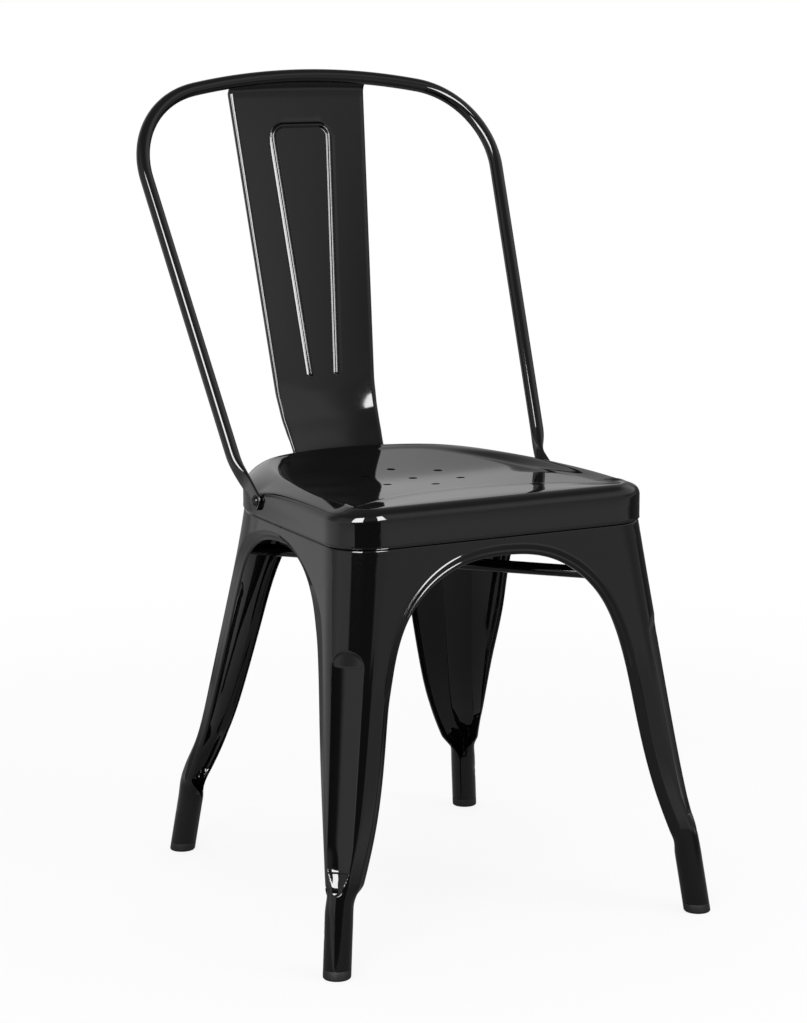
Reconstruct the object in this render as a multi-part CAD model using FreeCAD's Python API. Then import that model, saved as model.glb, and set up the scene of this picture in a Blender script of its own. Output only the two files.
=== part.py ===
"""Metal bistro chair: pressed sheet legs and seat, tube back hoop and a bent back splat.

Units are millimetres. +Z is up, the chair faces -Y and its two sides mirror each other in X = 0.
Heights are from the floor. While it is drawn, Y = 0 is the middle hole of the seat; at the end
every piece moves so that the origin is on the floor under the middle of the chair.
"""
import FreeCAD, Part
import math
import os
from FreeCAD import Vector

# Seat, outside its skirt, with square corners before rounding
seat_height = 450.0
seat_front_width = 358.0
seat_rear_width = 340.0
seat_front_y = -195.0
seat_rear_y = 180.0
seat_front_radius = 44.0
seat_rear_radius = 166.0
skirt_height = 38.5
rim_radius = 12.0
sheet = 1.2
fit_gap = 0.3

# Dish pressed into the seat, and its drain holes
dish_depth = 10.0
dish_top_inset = 13.0
dish_floor_inset = 46.0
dish_floor_front_radius = 20.0
dish_overrun = 1.25
drain_hole_diameter = 9.5
drain_ring_radius = 50.3
drain_ring_holes = 6

# Feet: centres of the four round leg ends on the floor
front_foot_x = 210.0
front_foot_y = -235.5
rear_foot_x = 181.0
rear_foot_y = 212.0
foot_diameter = 28.0
foot_wall = 1.4
foot_tube_top = 78.0
glide_height = 10.0
glide_stem_length = 16.0
glide_stem_gap = 0.2

# Leg shell: front and rear corner radius at each height, and how it laps the foot tube
leg_bottom = 62.0
leg_top_drop = 15.0
leg_corner_radii = ((86.0, 15.8, 17.0), (130.0, 28.0, 52.0), (200.0, 40.0, 88.0), (300.0, 44.0, 126.0))
foot_wrap = 0.5
lip_depth = 8.0
leg_split_y = -40.0

# Arches, as points along each edge: sideways distance, height
arch_top = 391.0
front_arch_edge = ((190.0, 58.0), (161.0, 140.0), (144.4, 220.0), (128.2, 300.0), (112.0, 337.0),
                   (84.0, 367.0), (45.0, 386.0))
rear_arch_edge = ((164.0, 58.0), (131.0, 125.0), (110.0, 196.0), (95.0, 262.0), (83.0, 310.0),
                  (66.0, 346.0), (38.0, 376.0))
side_arch_front_edge = ((-228.0, 58.0), (-205.0, 121.0), (-173.0, 213.0), (-150.5, 297.0), (-135.0, 334.0),
                        (-102.0, 368.0), (-66.0, 386.0))
side_arch_rear_edge = ((200.0, 58.0), (161.0, 134.0), (134.0, 198.0), (106.0, 262.0), (89.0, 310.0),
                       (68.0, 350.0), (30.0, 380.0))
side_arch_middle_y = -22.0

# Flute pressed into the outer corner of each leg
flute_bottom = 92.0
flute_top = 322.0
flute_depth = 3.6
flute_radius = 110.0
flute_end_radius = 24.0

# Back hoop: a tube bent in one plane that leans back
back_height = 860.0
hoop_tube_diameter = 14.5
hoop_tube_wall = 1.2
hoop_lean = 0.52
hoop_top_y = 252.8
hoop_half_width = 213.7
hoop_side_slope = 0.0955
hoop_corner_radius = 96.0
hoop_top_radius = 679.0
hoop_straight_end = 472.0

# Flattened ends of the hoop, bolted to the sides of the seat
tab_width = 20.0
tab_thickness = 3.2
tab_drop = 21.5
tab_y = 12.5
tab_straight = 22.0
tab_slope = 0.66
# Share of the way from tube to tab, width and thickness there as shares of the tube's diameter
tab_flattening = ((0.0, 1.0, 1.0), (0.35, 1.14, 0.78), (0.7, 1.28, 0.42), (1.0, 1.38, 0.22))
bolt_diameter = 6.0
bolt_clearance = 0.4
bolt_head_diameter = 12.5
bolt_head_height = 4.0
bolt_end_past_nut = 2.0
washer_diameter = 14.0
washer_thickness = 1.2
nut_across_flats = 10.0
nut_height = 5.0
thread_gap = 0.05

# Back splat; each row of its bend is the rise above its foot, setback of its middle behind
# the seat, share of the foot's hollow that is left, and half width
splat_foot_height = 416.0
splat_foot_gap = 0.35
splat_foot_half_width = 56.0
splat_foot_straight = 28.0
splat_bend_rows = ((35.0, 2.0, 0.97, 56.4), (45.0, 7.2, 0.85, 57.2), (57.0, 14.2, 0.71, 58.6),
                   (72.0, 21.6, 0.57, 60.0), (88.0, 26.6, 0.46, 61.0), (104.0, 30.0, 0.37, 61.8))
splat_bend_steps = 12
splat_spread = 0.068
splat_top_hollow = 1.0
splat_curl_radius = 12.0
splat_curl_reach = 3.26
splat_return = 4.0
splat_return_at_top = 1.6
splat_bolt_x = 39.6
splat_bolt_height = 424.0

# Raised line on the splat, an upside-down U
bead_width = 4.4
bead_rise = 1.2
bead_bottom = 526.5
bead_top = 798.4
bead_half_width_low = 16.1
bead_half_width_top = 35.4
bead_corner_radius = 13.0

# Diagonal braces under the seat
brace_diameter = 13.0
brace_height = 351.5

skirt_bottom = seat_height - skirt_height
leg_top = seat_height - leg_top_drop
foot_radius = foot_diameter / 2
beyond_chair = 400.0
nodes = {}


def rounded_corner(before, corner, after, radius):
    """Start, middle and end of the arc that rounds a corner."""
    to_last = (before - corner).normalize()
    to_next = (after - corner).normalize()
    half_angle = to_last.getAngle(to_next) / 2
    bisector = (to_last + to_next).normalize()
    centre = corner + bisector * (radius / math.sin(half_angle))
    reach = radius / math.tan(half_angle)
    return corner + to_last * reach, centre - bisector * radius, corner + to_next * reach


def rounded_corner_wire(corners, radii, z):
    """A four-sided outline with rounded corners, each side an arc followed by a line."""
    points = [Vector(x, y, z) for x, y in corners]
    arcs = [rounded_corner(points[i - 1], points[i], points[(i + 1) % 4], radii[i]) for i in range(4)]
    edges = []
    for i in range(4):
        edges.append(Part.Arc(*arcs[i]).toShape())
        edges.append(Part.makeLine(arcs[i][2], arcs[(i + 1) % 4][0]))
    return Part.Wire(edges)


def inset_outline(half_front, front_y, half_rear, rear_y, front_radius, rear_radius, inset, z):
    """The outline with these outer sizes, moved inwards by inset."""
    corners = ((-half_front + inset, front_y + inset), (half_front - inset, front_y + inset),
               (half_rear - inset, rear_y - inset), (-half_rear + inset, rear_y - inset))
    radii = [front_radius - inset] * 2 + [rear_radius - inset] * 2
    return rounded_corner_wire(corners, radii, z)


def seat_outline(inset, z, front_radius=seat_front_radius):
    return inset_outline(seat_front_width / 2, seat_front_y, seat_rear_width / 2, seat_rear_y,
                         front_radius, seat_rear_radius, inset, z)


def between(low, high, share):
    return low + (high - low) * share


def mirror_x(shape):
    return shape.mirror(Vector(), Vector(1, 0, 0))


def leg_sizes(z):
    """Outside of the leg shell at height z, before its corners are rounded."""
    lap = sheet + fit_gap
    reach = foot_radius + foot_wrap
    share = (skirt_bottom - z) / skirt_bottom
    return (between(seat_front_width / 2 - lap, front_foot_x + reach, share),
            between(seat_front_y + lap, front_foot_y - reach, share),
            between(seat_rear_width / 2 - lap, rear_foot_x + reach, share),
            between(seat_rear_y - lap, rear_foot_y + reach, share))


def leg_radii():
    """Corner radii from the foot up to the seat: height, front radius, rear radius."""
    lap = sheet + fit_gap
    foot = (leg_bottom, foot_radius + foot_wrap, foot_radius + foot_wrap)
    seat = (skirt_bottom, seat_front_radius - lap, seat_rear_radius - lap)
    return (foot,) + leg_corner_radii + (seat,)


def leg_solid(inset):
    """The closed form that the four leg shells wrap, moved inwards by inset."""
    outlines = []
    for z, front_radius, rear_radius in leg_radii():
        outlines.append(inset_outline(*leg_sizes(z), front_radius, rear_radius, inset, z))
    flare = Part.makeLoft(outlines, True, True)
    collar = Part.Face(outlines[-1]).extrude(Vector(0, 0, leg_top - skirt_bottom))
    return flare.fuse(collar)


def arch_wire(left_points, right_points, middle, offset):
    """An arch outline drawn flat: up the left edge, over the top and down the right edge."""
    points = [Vector(x, z, 0) for x, z in left_points]
    points.append(Vector(middle, arch_top, 0))
    points += [Vector(x, z, 0) for x, z in reversed(right_points)]
    curve = Part.BSplineCurve()
    curve.interpolate(points)
    if offset:
        moved = []
        steps = 36
        for i in range(steps + 1):
            at = between(curve.FirstParameter, curve.LastParameter, i / steps)
            along = curve.tangent(at)[0]
            moved.append(curve.value(at) + Vector(-along.y, along.x, 0) * offset)
        curve = Part.BSplineCurve()
        curve.interpolate(moved)
    edge = curve.toShape()
    first = edge.valueAt(edge.FirstParameter)
    last = edge.valueAt(edge.LastParameter)
    corners = [last, Vector(last.x, 0, 0), Vector(first.x, 0, 0), first]
    return Part.Wire([edge] + [Part.makeLine(corners[i], corners[i + 1]) for i in range(3)])


def mirrored(points):
    return tuple((-x, z) for x, z in points)


def arch_tools(offset):
    """Front, rear and side arch openings as solids, all widened by offset."""
    inner_reach = 90.0
    reach = beyond_chair
    flat = Part.Face(arch_wire(mirrored(front_arch_edge), front_arch_edge, 0, offset))
    front = flat.extrude(Vector(0, 0, reach - inner_reach))
    front.rotate(Vector(), Vector(1, 0, 0), 90)
    front.translate(Vector(0, -inner_reach, 0))
    flat = Part.Face(arch_wire(mirrored(rear_arch_edge), rear_arch_edge, 0, offset))
    rear = flat.extrude(Vector(0, 0, reach - inner_reach))
    rear.rotate(Vector(), Vector(1, 0, 0), 90)
    rear.translate(Vector(0, reach, 0))
    flat = Part.Face(arch_wire(side_arch_front_edge, side_arch_rear_edge, side_arch_middle_y, offset))
    side = flat.extrude(Vector(0, 0, 2 * reach))
    side.rotate(Vector(), Vector(1, 0, 0), 90)
    side.rotate(Vector(), Vector(0, 0, 1), 90)
    side.translate(Vector(-reach, 0, 0))
    return front, rear, side


def corner_point(z, end):
    """Point on the outer corner of a right leg at height z; end is -1 at the front, 1 at the rear."""
    rows = leg_radii()
    column = 1 if end < 0 else 2
    for low, high in zip(rows, rows[1:]):
        if low[0] <= z <= high[0]:
            radius = between(low[column], high[column], (z - low[0]) / (high[0] - low[0]))
    half_front, front_y, half_rear, rear_y = leg_sizes(z)
    back = radius * (1 - math.sqrt(0.5))
    if end < 0:
        return Vector(half_front - back, front_y + back, z)
    return Vector(half_rear - back, rear_y - back, z)


def flute_tool(end, extra):
    """Bar that presses the flute into a leg corner, made larger by extra."""
    low = corner_point(flute_bottom, end)
    high = corner_point(flute_top, end)
    outwards = Vector(1, end, 0).normalize()
    along = high - low
    base = low + outwards * (flute_radius - flute_depth)
    bar = Part.makeCylinder(flute_radius + extra, along.Length, base, along)
    ends = [edge for edge in bar.Edges if isinstance(edge.Curve, Part.Circle)]
    return bar.makeFillet(flute_end_radius, ends)


def foot_axis(end):
    """Floor centre of a right foot, and the way its tube leans per millimetre of height."""
    half_front, front_y, half_rear, rear_y = leg_sizes(skirt_bottom)
    inset = foot_radius + foot_wrap
    if end < 0:
        floor = Vector(front_foot_x, front_foot_y, 0)
        rise = Vector(half_front - inset, front_y + inset, skirt_bottom)
    else:
        floor = Vector(rear_foot_x, rear_foot_y, 0)
        rise = Vector(half_rear - inset, rear_y - inset, skirt_bottom)
    return floor, (rise - floor) / skirt_bottom


def leaning_post(floor, lean, radius, low, high):
    """A round post with level ends that leans with the leg."""
    circle = Part.Circle(floor + lean * low, Vector(0, 0, 1), radius)
    return Part.Face(Part.Wire([circle.toShape()])).extrude(lean * (high - low))


def make_legs():
    outer = leg_solid(0)
    shell = outer.cut(leg_solid(sheet))
    lip_band = outer.cut(leg_solid(lip_depth))
    openings = arch_tools(0)
    wider = arch_tools(sheet)
    lips = [lip_band.common(wide.cut(opening)) for wide, opening in zip(wider, openings)]
    for opening in openings:
        shell = shell.cut(opening)
        lips = [lip.cut(opening) for lip in lips]
    frame = shell.fuse(lips)
    half_gap = fit_gap / 2
    for end, name in ((-1, "front"), (1, "rear")):
        quarter = Part.makeBox(beyond_chair, beyond_chair, seat_height)
        quarter_y = leg_split_y + half_gap if end > 0 else leg_split_y - half_gap - beyond_chair
        quarter.translate(Vector(half_gap, quarter_y, 0))
        leg = frame.common(quarter)
        dent = flute_tool(end, sheet).common(outer)
        leg = leg.fuse(dent).cut(flute_tool(end, 0))
        floor, lean = foot_axis(end)
        tube = leaning_post(floor, lean, foot_radius, glide_height, foot_tube_top)
        bore = leaning_post(floor, lean, foot_radius - foot_wall, 0, foot_tube_top)
        leg = leg.fuse(tube).cut(bore)
        glide = leaning_post(floor, lean, foot_radius, 0, glide_height)
        stem_radius = foot_radius - foot_wall - glide_stem_gap
        stem = leaning_post(floor, lean, stem_radius, glide_height, glide_height + glide_stem_length)
        glide = glide.fuse(stem)
        nodes["leg_" + name + "_right"] = leg
        nodes["leg_" + name + "_left"] = mirror_x(leg)
        nodes["foot_glide_" + name + "_right"] = glide
        nodes["foot_glide_" + name + "_left"] = mirror_x(glide)


def seat_block(inset):
    """Solid form of the seat with a rolled top edge, moved inwards by inset."""
    height = skirt_height - inset
    block = Part.Face(seat_outline(inset, skirt_bottom)).extrude(Vector(0, 0, height))
    top = [edge for edge in block.Edges if edge.BoundBox.ZMin > skirt_bottom + height / 2]
    return block.makeFillet(rim_radius - inset, top)


def dish_outline(share, drop):
    """Outline of the dish at a share of its depth: 0 on its floor, 1 at its rim, more above it."""
    inset = between(dish_floor_inset, dish_top_inset, share)
    front_radius = between(dish_floor_front_radius, seat_front_radius - dish_top_inset, share)
    return seat_outline(inset, seat_height - drop - dish_depth * (1 - share), inset + front_radius)


def dish_pocket(drop):
    """Solid that hollows the seat top and runs on above it, lowered by drop."""
    return Part.makeLoft([dish_outline(0, drop), dish_outline(dish_overrun, drop)], True, True)


def make_seat():
    seat = seat_block(0).cut(dish_pocket(0))
    seat = seat.cut(seat_block(sheet).cut(dish_pocket(sheet)))
    radius = drain_hole_diameter / 2
    spots = [Vector(0, 0, skirt_bottom)]
    for i in range(drain_ring_holes):
        angle = math.pi / 2 + i * 2 * math.pi / drain_ring_holes
        spots.append(spots[0] + Vector(math.cos(angle), math.sin(angle), 0) * drain_ring_radius)
    for spot in spots:
        seat = seat.cut(Part.makeCylinder(radius, 2 * skirt_height, spot))
    nodes["seat_pan"] = seat


def hoop_point(x, along):
    """Point in the hoop's leaning plane; along is measured up the slope from its top."""
    rise = along / math.sqrt(1 + hoop_lean ** 2)
    return Vector(x, hoop_top_y + hoop_lean * rise, back_height - hoop_tube_diameter / 2 + rise)


def hoop_bend():
    """Centre of the hoop's corner bend, touching both the top arc and the straight side."""
    stretch = math.sqrt(1 + hoop_side_slope ** 2)
    start = hoop_half_width - hoop_corner_radius
    reach = hoop_top_radius - hoop_corner_radius
    return start, math.sqrt(reach ** 2 - start ** 2) - hoop_top_radius, stretch


def hoop_path():
    """Centreline of the hoop, from the end of the left side over the top to the right side."""
    bend_x, bend_along, stretch = hoop_bend()
    outwards = (1 / stretch, -hoop_side_slope / stretch)
    side = (bend_x + hoop_corner_radius * outwards[0], bend_along + hoop_corner_radius * outwards[1])
    lean_length = math.sqrt(1 + hoop_lean ** 2)
    low_along = (hoop_straight_end - back_height + hoop_tube_diameter / 2) * lean_length
    low = (side[0] + hoop_side_slope * (low_along - side[1]), low_along)
    to_bend = math.atan2(bend_x, bend_along + hoop_top_radius)
    top = (hoop_top_radius * math.sin(to_bend), hoop_top_radius * (math.cos(to_bend) - 1))
    turn = (math.atan2(outwards[1], outwards[0]) + math.pi / 2 - to_bend) / 2
    knee = (bend_x + hoop_corner_radius * math.cos(turn), bend_along + hoop_corner_radius * math.sin(turn))
    right = [hoop_point(*spot) for spot in (top, knee, side, low)]
    left = [Vector(-spot.x, spot.y, spot.z) for spot in right]
    crown = hoop_point(0, 0)
    edges = [Part.makeLine(left[3], left[2]), Part.Arc(left[2], left[1], left[0]).toShape(),
             Part.Arc(left[0], crown, right[0]).toShape(), Part.Arc(right[0], right[1], right[2]).toShape(),
             Part.makeLine(right[2], right[3])]
    return Part.Wire(edges), right[2], right[3]


def flattened_wire(centre, along, wide_way, width, thickness):
    """A round outline pressed flat, square to along, with its long side along wide_way."""
    along = Vector(along).normalize()
    across = along.cross(wide_way).normalize()
    wide = across.cross(along).normalize()
    r = thickness / 2
    if width == thickness:
        turns = [math.pi / 4 * (1 - i) for i in range(9)]
        ring = [centre + (wide * math.cos(turn) + across * math.sin(turn)) * r for turn in turns]
        return Part.Wire([Part.Arc(*ring[i:i + 3]).toShape() for i in (0, 2, 4, 6)])
    half = (width - thickness) / 2
    a = centre + wide * half + across * r
    b = centre + wide * (half + r)
    c = centre + wide * half - across * r
    d = centre - wide * half - across * r
    e = centre - wide * (half + r)
    f = centre - wide * half + across * r
    return Part.Wire([Part.Arc(a, b, c).toShape(), Part.makeLine(c, d),
                      Part.Arc(d, e, f).toShape(), Part.makeLine(f, a)])


def seat_side_x(y):
    """Half width of the seat skirt at y, ahead of its rear corner."""
    share = (y - seat_front_y) / (seat_rear_y - seat_front_y)
    return between(seat_front_width, seat_rear_width, share) / 2


def tab_centre():
    x = seat_side_x(tab_y - tab_width / 2) + fit_gap / 2 + tab_thickness / 2
    return Vector(x, tab_y, seat_height - tab_drop)


def hoop_end(side_high, side_low):
    """Right end of the hoop: the round tube flattens into a tab that reaches forward."""
    down = (side_low - side_high).normalize()
    bolt = tab_centre()
    tab_way = Vector(0, -1, -tab_slope).normalize()
    tab_start = bolt - tab_way * tab_straight
    round_end = hoop_tube_diameter
    outlines = []
    reach = (tab_start - side_low).Length
    for share, wider, thinner in tab_flattening:
        way = down * (1 - share) + tab_way * share
        on_tube = side_low + down * (reach * share)
        on_tab = tab_start - tab_way * (reach * (1 - share))
        centre = on_tube * (1 - share) + on_tab * share
        width = round_end * wider if share < 1 else tab_width
        thick = round_end * thinner if share < 1 else tab_thickness
        outlines.append(flattened_wire(centre, way, Vector(0, -tab_slope, 1), width, thick))
    flattened = Part.makeLoft(outlines, True, False, False, 3)
    up = Vector(0, -tab_slope, 1).normalize() * (tab_width / 2)
    corners = [bolt + up, bolt - up, tab_start - up, tab_start + up]
    rounded = Part.Arc(bolt + up, bolt + tab_way * (tab_width / 2), bolt - up).toShape()
    lines = [Part.makeLine(corners[i], corners[(i + 1) % 4]) for i in (1, 2, 3)]
    plate = Part.Face(Part.Wire([rounded] + lines)).extrude(Vector(tab_thickness, 0, 0))
    plate.translate(Vector(-tab_thickness / 2, 0, 0))
    hole = (bolt_diameter + bolt_clearance) / 2
    plate = plate.cut(Part.makeCylinder(hole, 2 * tab_width, bolt - Vector(tab_width, 0, 0), Vector(1, 0, 0)))
    return flattened.fuse(plate)


def swept_tube(path, radius):
    first = path.Edges[0]
    start = first.valueAt(first.FirstParameter)
    circle = Part.Circle(start, first.tangentAt(first.FirstParameter), radius)
    return path.makePipeShell([Part.Wire([circle.toShape()])], True, False)


def make_hoop():
    path, side_high, side_low = hoop_path()
    tube = swept_tube(path, hoop_tube_diameter / 2)
    bore = swept_tube(path, hoop_tube_diameter / 2 - hoop_tube_wall)
    end = hoop_end(side_high, side_low)
    nodes["back_hoop"] = tube.cut(bore).fuse([end, mirror_x(end)])


def splat_outline(edge, middle, half_width, return_depth):
    """Section of the splat through its two edges and its middle, with the edges turned back."""
    way = (middle - edge).normalize()
    inner = half_width - sheet

    def spot(x, back):
        return edge + way * back + Vector(x, 0, 0)

    front = Part.Arc(spot(-half_width, 0), middle, spot(half_width, 0)).toShape()
    right = [spot(half_width, 0), spot(half_width, return_depth), spot(inner, return_depth), spot(inner, sheet)]
    left = [spot(-inner, sheet), spot(-inner, return_depth), spot(-half_width, return_depth), spot(-half_width, 0)]
    rear = Part.Arc(right[-1], middle + way * sheet, left[0]).toShape()
    return Part.Wire([front] + [Part.makeLine(right[i], right[i + 1]) for i in range(3)] + [rear] +
                     [Part.makeLine(left[i], left[i + 1]) for i in range(3)])


def seat_rear_centre_x():
    """Sideways distance of the centre that the seat's rear corner is rounded about."""
    taper = math.atan2((seat_front_width - seat_rear_width) / 2, seat_rear_y - seat_front_y)
    return seat_rear_width / 2 - seat_rear_radius / math.tan((math.pi / 2 + taper) / 2)


def seat_rear_wall_y(x):
    """Setback of the seat's rear skirt at x, straight in its middle and round at its corner."""
    over = max(0.0, x - seat_rear_centre_x())
    return seat_rear_y - seat_rear_radius + math.sqrt(seat_rear_radius ** 2 - over ** 2)


def splat_foot_edge_y():
    return seat_rear_wall_y(splat_foot_half_width) + splat_foot_gap


def splat_foot_setback():
    """Setback of the foot's middle behind the seat that keeps its whole arc clear of the skirt."""
    steps = 56
    setbacks = []
    for i in range(steps):
        share = (i / steps) ** 2
        clear_y = seat_rear_wall_y(splat_foot_half_width * i / steps) + fit_gap / 4
        setbacks.append((clear_y - splat_foot_edge_y() * share) / (1 - share) - seat_rear_y)
    return max(setbacks)


def splat_foot_hollow():
    return seat_rear_y + splat_foot_setback() - splat_foot_edge_y()


def splat_bend_row(rise, setback, share, half_width):
    hollow = splat_foot_hollow() * share
    return seat_rear_y + setback - hollow, hollow, half_width


def splat_touch():
    """Where the front of the splat's curled top meets the back of the hoop."""
    crown = hoop_point(0, 0)
    return Vector(0, crown.y + hoop_tube_diameter / 2 + fit_gap / 2, crown.z - sheet / 2)


def splat_blade_hollow(z):
    hollow = splat_bend_row(*splat_bend_rows[-1])[1]
    bend_top = splat_foot_height + splat_bend_rows[-1][0]
    share = (z - bend_top) / (back_height - hoop_tube_diameter - bend_top)
    return between(hollow, splat_top_hollow, share)


def splat_lean():
    """Lean of the blade, from its bend up to the curl that reaches the hoop."""
    bend_top = splat_foot_height + splat_bend_rows[-1][0]
    curl_z = splat_touch().z - splat_curl_radius
    curl_y = splat_touch().y + splat_curl_reach + splat_curl_radius
    edge_y = splat_bend_row(*splat_bend_rows[-1])[0]
    return (curl_y - splat_blade_hollow(curl_z) - edge_y) / (curl_z - bend_top)


def splat_row(z):
    """Edge setback, hollow and half width of the splat at height z, above its bend."""
    edge_y, hollow, half_width = splat_bend_row(*splat_bend_rows[-1])
    above = z - splat_foot_height - splat_bend_rows[-1][0]
    return edge_y + splat_lean() * above, splat_blade_hollow(z), half_width + splat_spread * above


def level_section(z, edge_y, hollow, half_width):
    return splat_outline(Vector(0, edge_y, z), Vector(0, edge_y + hollow, z), half_width, splat_return)


def splat_middle_y(z):
    edge_y, hollow, half_width = splat_row(z)
    return edge_y + hollow


def splat_curl_sections():
    """Sections of the splat's top, which curls forward on to the back of the hoop."""
    touch = splat_touch()
    bend_start = touch.z - splat_curl_radius
    hollow, half_width = splat_row(bend_start)[1:]
    along = math.sqrt(hoop_top_radius ** 2 - half_width ** 2) - hoop_top_radius
    drop = hoop_point(0, along) - hoop_point(0, 0)
    outlines = []
    bends = 4
    for i in range(bends + 1):
        turn = i * math.pi / 2 / bends
        share = i / bends
        middle = Vector(0, splat_middle_y(bend_start) - splat_curl_radius * (1 - math.cos(turn)),
                        bend_start + splat_curl_radius * math.sin(turn))
        edge = middle + Vector(0, -hollow, 0) * (1 - share) + drop * share
        outlines.append(splat_outline(edge, middle, half_width, between(splat_return, splat_return_at_top, share)))
    outlines.append(splat_outline(touch + drop, touch, half_width, splat_return_at_top))
    return outlines


def bead_path():
    """Centreline of the raised line on the splat."""
    lean = (splat_middle_y(bead_top) - splat_middle_y(bead_bottom)) / (bead_top - bead_bottom)
    sink = bead_width / 2 - bead_rise
    points = []
    for x, z in ((-bead_half_width_low, bead_bottom), (-bead_half_width_top, bead_top),
                 (bead_half_width_top, bead_top), (bead_half_width_low, bead_bottom)):
        points.append(Vector(x, splat_middle_y(bead_bottom) + lean * (z - bead_bottom) + sink, z))
    left = rounded_corner(points[0], points[1], points[2], bead_corner_radius)
    right = rounded_corner(points[1], points[2], points[3], bead_corner_radius)
    return Part.Wire([Part.makeLine(points[0], left[0]), Part.Arc(*left).toShape(),
                      Part.makeLine(left[2], right[0]), Part.Arc(*right).toShape(),
                      Part.makeLine(right[2], points[3])])


def bend_rows_around(rows, rise):
    """The rows just below and above this rise; the last two at the very top."""
    for low, high in zip(rows, rows[1:]):
        if rise <= high[0]:
            return low, high
    return rows[-2:]


def splat_bend_sections():
    """Sections from the splat's straight foot through the bend that leads up to its blade."""
    foot = (splat_foot_straight, splat_foot_setback(), 1.0, splat_foot_half_width)
    rows = (foot,) + splat_bend_rows
    route = Part.BSplineCurve()
    route.interpolate(Points=[Vector(row[1], row[0], 0) for row in rows],
                      InitialTangent=Vector(0, 1, 0), FinalTangent=Vector(splat_lean(), 1, 0))
    outlines = [level_section(splat_foot_height, *splat_bend_row(0, *foot[1:]))]
    for i in range(splat_bend_steps + 1):
        at = route.value(between(route.FirstParameter, route.LastParameter, i / splat_bend_steps))
        low, high = bend_rows_around(rows, at.y)
        share = (at.y - low[0]) / (high[0] - low[0])
        row = splat_bend_row(at.y, at.x, between(low[2], high[2], share), between(low[3], high[3], share))
        outlines.append(level_section(splat_foot_height + at.y, *row))
    return outlines


def make_splat():
    blade = Part.makeLoft(splat_bend_sections() + splat_curl_sections(), True, True)
    nodes["back_splat"] = blade.fuse(swept_tube(bead_path(), bead_width / 2))


def round_bar(point, way, radius, length):
    return Part.makeCylinder(radius, length, point, way)


def dome_head(point, way):
    """Domed bolt head standing on point and facing way."""
    r = bolt_head_diameter / 2
    h = bolt_head_height
    ball = (r * r + h * h) / (2 * h)
    cap = Part.makeSphere(ball, point - way * (ball - h))
    return cap.common(Part.makeCylinder(2 * r, 2 * h, point, way))


def nut_solid(point, way):
    corners = []
    side = way.cross(Vector(0, 0, 1)).normalize()
    up = way.cross(side).normalize()
    reach = nut_across_flats / 2 / math.cos(math.pi / 6)
    for i in range(7):
        angle = i * math.pi / 3
        corners.append(point + side * (reach * math.cos(angle)) + up * (reach * math.sin(angle)))
    block = Part.Face(Part.makePolygon(corners)).extrude(way * nut_height)
    return block.cut(Part.makeCylinder(bolt_diameter / 2 + thread_gap, nut_height, point, way))


def fastener(point, outwards, grip):
    """Bolt, washer and nut: the head stands on point, the grip lies between head and washer."""
    inwards = outwards * -1
    length = grip + washer_thickness + nut_height + bolt_end_past_nut
    bolt = dome_head(point, outwards).fuse(round_bar(point, inwards, bolt_diameter / 2, length))
    inside = point + inwards * grip
    washer = round_bar(inside, inwards, washer_diameter / 2, washer_thickness)
    washer = washer.cut(round_bar(inside, inwards, (bolt_diameter + bolt_clearance) / 2, washer_thickness))
    nut = nut_solid(inside + inwards * washer_thickness, inwards)
    return bolt, washer, nut


def drill(names, point, outwards):
    reach = skirt_height
    hole = round_bar(point - outwards * reach, outwards, (bolt_diameter + bolt_clearance) / 2, 2 * reach)
    for name in names:
        nodes[name] = nodes[name].cut(hole)


def add_fasteners(prefix, places, grip):
    """Both mirrored fasteners of one kind, each kind of piece as one group."""
    groups = [fastener(point, outwards, grip) for point, outwards in places]
    for kind, pieces in zip(("bolts", "washers", "nuts"), zip(*groups)):
        nodes[prefix + "_" + kind] = Part.makeCompound(list(pieces))


def make_hoop_fasteners():
    bolt = tab_centre()
    seat = Vector(tab_thickness / 2 + fit_gap / 4, 0, 0)
    right = bolt + seat
    grip = right.x - (seat_side_x(tab_y + washer_diameter / 2) - 2 * sheet - fit_gap) + fit_gap / 2
    places = [(Vector(side * right.x, right.y, right.z), Vector(side, 0, 0)) for side in (-1, 1)]
    for (point, outwards), leg in zip(places, ("leg_rear_left", "leg_rear_right")):
        drill(("seat_pan", leg), point, outwards)
    add_fasteners("hoop", places, grip)


def make_splat_fasteners():
    """Bolts square to the seat's rear skirt, through the splat's foot, the skirt and the leg."""
    x = splat_bolt_x
    wall_y = seat_rear_wall_y(x)
    angle = math.asin(max(0.0, x - seat_rear_centre_x()) / seat_rear_radius)
    hollow = splat_foot_hollow()
    curve = (splat_foot_half_width ** 2 + hollow ** 2) / (2 * hollow)
    foot_y = seat_rear_y + splat_foot_setback() - curve + math.sqrt(curve ** 2 - x ** 2)
    head_tilt = abs(angle - math.asin(x / curve))
    gap = (foot_y - wall_y) * math.cos(angle) + bolt_head_diameter / 2 * math.sin(head_tilt)
    head_seat = gap + sheet + fit_gap / 2
    grip = head_seat + 2 * (sheet + fit_gap)
    places = []
    for side in (-1, 1):
        outwards = Vector(side * math.sin(angle), math.cos(angle), 0)
        places.append((Vector(side * x, wall_y, splat_bolt_height) + outwards * head_seat, outwards))
    for (point, outwards), leg in zip(places, ("leg_rear_left", "leg_rear_right")):
        drill(("seat_pan", "back_splat", leg), point, outwards)
    add_fasteners("splat", places, grip)


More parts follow.
